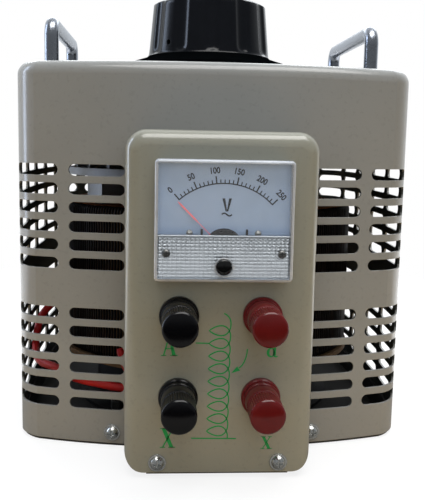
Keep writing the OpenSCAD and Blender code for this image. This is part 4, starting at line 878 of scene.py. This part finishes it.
# Dial pegs and the two small screws that hold the dial
parts = []
for x in (-10.3, 10.6):
    v, f = lathe([(0.0, 0.0), (0.55, 0.0), (0.55, 2.6), (0.42, 2.9), (0.0, 2.95)], 16)
    parts.append(([(x + a, mz1 - 0.4 + c, dial_out + 1.2 + b) for a, b, c in v], f))
verts, faces = join(*parts)
piece("dial_pegs", on_panel(verts, 0, 0), faces, black_moulding, "case", "black_plastic", (), 40)
parts = []
for x in (-15.9, 15.9):
    v, f = lathe([(0.0, 0.05), (1.5, 0.05), (1.5, 0.5), (1.2, 0.8), (0.5, 1.0), (0.0, 1.02)], 24)
    parts.append(([(x + a, mz1 + 0.5 + b, dial_out + c) for a, b, c in v], f))
verts, faces = join(*parts)
piece("dial_screws", on_panel(verts, 0, 0), faces, zinc, "case", "zinc", (), 40)

# Clear collar round the zero screw, painted pale as painted light in the clear ring
v, f = lathe([(4.0, 0.02), (4.0, 0.5), (4.12, 0.65), (4.36, 0.65), (4.5, 0.5), (4.52, 0.02), (4.0, 0.02)], 48)
piece("zero_collar", on_panel([(a, b, c + c_out) for a, b, c in v], 0, zero_z), f, cover_edge,
      "case", "clear_cover", (), 35)

# Zero screw: black domed head with a screwdriver slot
HEAD_R, HEAD_DOME, SLOT_W, SLOT_FLOOR = 3.72, 1.4, 0.6, 1.2
profile = [(0.0, m_face - 1.6), (1.0, m_face - 1.6), (1.0, m_face + 0.3), (1.98, m_face + 0.3),
           (1.98, c_out + 0.1), (3.45, c_out + 0.1), (3.7, c_out + 0.2)]
profile += [(HEAD_R * math.cos(t), c_out + 0.3 + HEAD_DOME * math.sin(t)) for t in np.linspace(0.0, 1.45, 10)]
v, f = lathe(profile + [(0.0, c_out + 0.3 + HEAD_DOME)], 48)
dome = piece("zero_dome", on_panel(v, 0, zero_z), f, black_gloss,
             "zero_screw", "black_plastic", ["zero_screw"], 40)
half = SLOT_W / 2
v, f = slab([(-half, -5.0), (half, -5.0), (half, 5.0), (-half, 5.0)], c_out + SLOT_FLOOR, c_out + 3.0)
cut_away(dome, [(on_panel(v, 0, zero_z), f)], 40)

# Pointer: slim stem that widens into a blade, with its hub, staff and balance tail
PIVOT_DROP, REST_ANGLE = 12.8, math.radians(135)
hub = panel_y - box("pointer")[0][1]
blade = [(-6.0, 0.7), (0.0, 0.7), (1.6, 0.2), (17.0, 0.13), (18.5, 0.36), (28.6, 0.34), (30.2, 0.14)]
ca, sa = math.cos(REST_ANGLE), math.sin(REST_ANGLE)
turned = [(x * ca - y * sa, x * sa + y * ca) for x, y in blade + [(x, -w) for x, w in blade[::-1]]]
parts = [slab(turned, hub - 0.65, hub - 0.25)]
parts.append(lathe([(0.0, hub - 0.9), (1.9, hub - 0.9), (2.2, hub - 0.7), (2.2, hub - 0.2),
                    (1.9, hub), (0.0, hub)], 32))
parts.append(lathe([(0.0, hub - 4.5), (0.6, hub - 4.5), (0.6, hub - 0.6), (0.0, hub - 0.6)], 16))
verts, faces = join(*parts)
piece("pointer_blade", on_panel(verts, 0, meter_z - PIVOT_DROP), faces, pointer_red,
      "pointer", "pointer_red", ["pointer"], 35)

# Green print on the panel: post letters, coil with its tap, base line and brush arrow
PRINT = (0.02, 0.08)
LINE_W, THIN_W = 0.62, 0.6
PITCH, LOOP_B, LOOPS, LOOP_STEPS, TIP, RIGHT, COIL_Z = 6.25, 3.9, 9, 28, -5.4, 4.9, 76.7
coil = [(1.5, 82.0), (2.6, 81.5), (3.7, 80.5), (4.5, 79.2), (4.85, 77.9)]
for k in range(LOOPS):
    for j in range(LOOP_STEPS):
        t = j / LOOP_STEPS
        u = abs(1 - 2 * t)
        x = TIP + (RIGHT - TIP) * math.sin(math.pi / 2 * u) ** 1.2 - 0.06 * k
        coil.append((x, COIL_Z - PITCH * (k + t) - LOOP_B * math.sin(2 * math.pi * t)))
coil += [(RIGHT - 0.54, COIL_Z - PITCH * LOOPS), (RIGHT - 0.6, 19.8)]
arrow = [(13.1, 64.6), (12.95, 62.6), (12.5, 60.4), (11.7, 58.2), (10.6, 56.4), (9.2, 55.1)]
parts = [ribbon(coil, LINE_W, *PRINT)]
parts.append(ribbon([(-13.3, 19.95), (8.6, 19.65)], THIN_W, *PRINT))
parts.append(ribbon([(-11.8, 67.5), (-5.3, 67.35)], THIN_W, *PRINT))
parts.append(ribbon(arrow, LINE_W, *PRINT))
parts.append(slab([(5.5, 52.6), (9.95, 54.0), (9.0, 55.0), (8.4, 56.1)], *PRINT))


def glyph(strokes, x, z, w, h):
    """A letter from strokes drawn in a unit square, at a place and size on the panel."""
    return [slab([(x + p * w, z + q * h) for p, q in stroke], *PRINT) for stroke in strokes]


def serif(x0, x1, y=0.0, t=0.045):
    return [(x0, y), (x1, y), (x1, y + t), (x0, y + t)]


CROSS = [[(0.10, 1.0), (0.36, 1.0), (0.90, 0.0), (0.64, 0.0)],
         [(0.80, 1.0), (0.89, 1.0), (0.22, 0.0), (0.13, 0.0)],
         serif(0.0, 0.46, 0.955), serif(0.64, 1.0, 0.955), serif(0.0, 0.37), serif(0.54, 1.0)]
LETTER_A = [[(0.44, 1.0), (0.53, 1.0), (0.20, 0.0), (0.11, 0.0)],
            [(0.44, 1.0), (0.56, 1.0), (0.90, 0.0), (0.67, 0.0)],
            serif(0.24, 0.72, 0.33, 0.055), serif(0.0, 0.33), serif(0.55, 1.0)]
parts += glyph(CROSS, -28.5, 15.2, 7.5, 9.9)
parts += glyph(LETTER_A, -28.4, 61.2, 8.0, 9.7)
parts += glyph(CROSS, 20.7, 14.3, 5.7, 6.4)

# Small letter a: a bowl between two ovals, a stem and a foot
A_X, A_Z, BOWL_Z, BOWL_STEPS = 24.45, 60.55, 2.35, 32
OUTER_OVAL, INNER_OVAL = (0.0, 1.95, 2.4), (0.35, 1.0, 1.8)
verts = []
for t in np.linspace(0, 2 * math.pi, BOWL_STEPS + 1)[:-1]:
    for (dx, rx, rz), out in zip((OUTER_OVAL, OUTER_OVAL, INNER_OVAL, INNER_OVAL), PRINT + PRINT[::-1]):
        verts.append((A_X + dx + rx * math.cos(t), A_Z + BOWL_Z + rz * math.sin(t), out))
parts.append((verts, closed_faces(BOWL_STEPS, 4)))
parts.append(ribbon([(A_X + 1.85, A_Z + 6.0), (A_X + 1.85, A_Z + 1.2)], 1.4, *PRINT))
foot = [(1.75, 1.25), (2.0, 0.5), (2.6, 0.2), (3.5, 0.55)]
parts.append(ribbon([(A_X + x, A_Z + z) for x, z in foot], 1.2, *PRINT, 0.5))
verts, faces = join(*parts)
piece("panel_print", on_panel(verts, 0, 0), faces, green_ink, "case", "panel_paint", (), 30)

# Camera at the photograph's place; its focal length is in pixels of the picture's long side
FOCAL, PICTURE_H, SENSOR = 766.1, 500, 36.0
CAMERA_AT = Vector((-28.5, -502.1, 160.7))
yaw, pitch, roll = math.radians(3.82), math.radians(7.67), math.radians(-1.12)
ahead = Vector((math.sin(yaw) * math.cos(pitch), math.cos(yaw) * math.cos(pitch), -math.sin(pitch)))
right = Vector((math.cos(yaw), -math.sin(yaw), 0))
down = ahead.cross(right)
across = right * math.cos(roll) + down * math.sin(roll)
below = -right * math.sin(roll) + down * math.cos(roll)
lens = bpy.data.cameras.new("photo_camera")
lens.sensor_width = SENSOR
lens.lens = FOCAL * SENSOR / PICTURE_H
lens.clip_start = 0.01
camera = placed("photo_camera", lens)
turn = Matrix((across, -below, -ahead)).transposed().to_4x4()
camera.matrix_world = Matrix.Translation(CAMERA_AT * MM) @ turn
bpy.context.scene.camera = camera

# Plain pale floor: white to the camera but for part of the shadow, dimmer in reflections in front
FLOOR_X, FLOOR_Y0, FLOOR_Y1, FLOOR_Z = 1.6, -0.40, 2.0, -0.0004
DIM_EDGE, FRONT_EDGE = -0.30, 0.0
PALE, GREY, DIM = srgb(246, 246, 246), srgb(138, 136, 132), srgb(20, 20, 20)
SHADOW_AT, CLEAR_AT, SHADOW_GLOW = 0.18, 0.55, 0.82
corners = [(-FLOOR_X, FLOOR_Y0), (FLOOR_X, FLOOR_Y0), (FLOOR_X, FLOOR_Y1), (-FLOOR_X, FLOOR_Y1)]
floor_mesh = bpy.data.meshes.new("floor")
floor_mesh.from_pydata([(x, y, FLOOR_Z) for x, y in corners], [], [(0, 1, 2, 3)])
floor = placed("floor", floor_mesh)
look = Look("floor_pale", Roughness=0.9, Specular_IOR_Level=0.0)
rays = look.add("ShaderNodeLightPath")
seen = look.maths("MAXIMUM", rays.outputs["Is Camera Ray"], rays.outputs["Is Transmission Ray"])
warm = look.ramp(look.noise(6, 2), (0.3, srgb(216, 183, 130)), (0.7, srgb(222, 189, 137)))
apart = look.add("ShaderNodeSeparateXYZ", {0: look.place})
near = look.maths("LESS_THAN", apart.outputs["Y"], DIM_EDGE)
behind = look.maths("GREATER_THAN", apart.outputs["Y"], FRONT_EDGE)
mirrored = look.mix(near, look.mix(behind, GREY, PALE), DIM)
look.to("Base Color", look.mix(seen, look.mix(rays.outputs["Is Glossy Ray"], warm, mirrored), PALE))
glow = look.add("ShaderNodeEmission", {"Color": (1, 1, 1, 1)})
span = look.add("ShaderNodeVectorMath", {0: look.place}, operation="LENGTH")
whiter = look.ramp(span.outputs["Value"], (SHADOW_AT, SHADOW_GLOW), (CLEAR_AT, 1.0))
look.surface(look.blend(look.maths("MULTIPLY", seen, whiter), look.bsdf.outputs[0], glow.outputs[0]))
floor_mesh.materials.append(look.mat)

# World: white to the eye and behind the object in reflections, soft fill for the rest
FILL = 0.27
world = bpy.data.worlds.new("studio")
bpy.context.scene.world = world
world.use_nodes = True
sky = Tree(world.node_tree)
sky.tree.nodes.clear()


def share(kind, a, b):
    """Maths kept between 0 and 1."""
    return sky.maths(kind, a, b, clamp=True)


def backdrop(colour, strength):
    return sky.add("ShaderNodeBackground", {"Color": colour, "Strength": strength}).outputs[0]


# Reflections see a dimmer room in front, a little lighter upwards
rays = sky.add("ShaderNodeLightPath")
way = sky.add("ShaderNodeSeparateXYZ", {0: sky.add("ShaderNodeTexCoord").outputs["Generated"]})
front_share = share("MULTIPLY", share("SUBTRACT", 0.5, way.outputs["Y"]), 2.0)
up_share = share("MULTIPLY", share("ADD", way.outputs["Z"], 0.12), 4.0)
front_loss = share("SUBTRACT", 0.96, share("MULTIPLY", up_share, 0.24))
room = share("SUBTRACT", 1.0, share("MULTIPLY", front_share, front_loss))
unseen = sky.blend(rays.outputs["Is Glossy Ray"], backdrop((0.92, 0.97, 1.0, 1), FILL),
                   backdrop((0.93, 0.97, 1.0, 1), room))
seen = share("MAXIMUM", rays.outputs["Is Camera Ray"], rays.outputs["Is Transmission Ray"])
sky.add("ShaderNodeOutputWorld", {"Surface": sky.blend(seen, unseen, backdrop((1, 1, 1, 1), 1.0))})


def softbox(name, place, target, size, power, colour, mirrored=True):
    """A soft rectangular lamp in metres and watts; an unmirrored one doesn't show in reflections."""
    lamp = bpy.data.lights.new(name, "AREA")
    lamp.shape, lamp.energy, lamp.color = "RECTANGLE", power, colour
    lamp.size, lamp.size_y = size
    obj = placed(name, lamp)
    obj.location = place
    obj.rotation_euler = (Vector(target) - Vector(place)).to_track_quat("-Z", "Y").to_euler()
    obj.visible_glossy = mirrored


BACK_AT, BACK_AIM, BACK_TONE = (0.05, 0.55, 1.2), (0.0, -0.05, 0.15), (0.97, 0.98, 1.0)
softbox("overhead", (0.2, -0.5, 1.65), (0.0, -0.1, 0.1), (1.6, 0.9), 27.0, (1.0, 0.99, 0.97))
softbox("front_fill", (0.1, -1.6, 0.75), (0.0, 0.0, 0.12), (1.6, 1.1), 9.5, (0.98, 0.99, 1.0), mirrored=False)
softbox("back_lamp", BACK_AT, BACK_AIM, (1.5, 0.6), 13.0, BACK_TONE, mirrored=False)
softbox("back_gloss", BACK_AT, BACK_AIM, (1.5, 0.5), 8.0, BACK_TONE)
softbox("back_strip", (0.1, 1.15, 0.95), (0.0, -0.1, 0.2), (1.6, 0.35), 6.0, (0.93, 0.97, 1.0))
softbox("left_window", (-1.2, 0.2, 0.5), (0.0, -0.05, 0.12), (0.26, 1.1), 6.5, (0.66, 0.78, 1.0))

bpy.context.scene.view_settings.view_transform = "Standard"
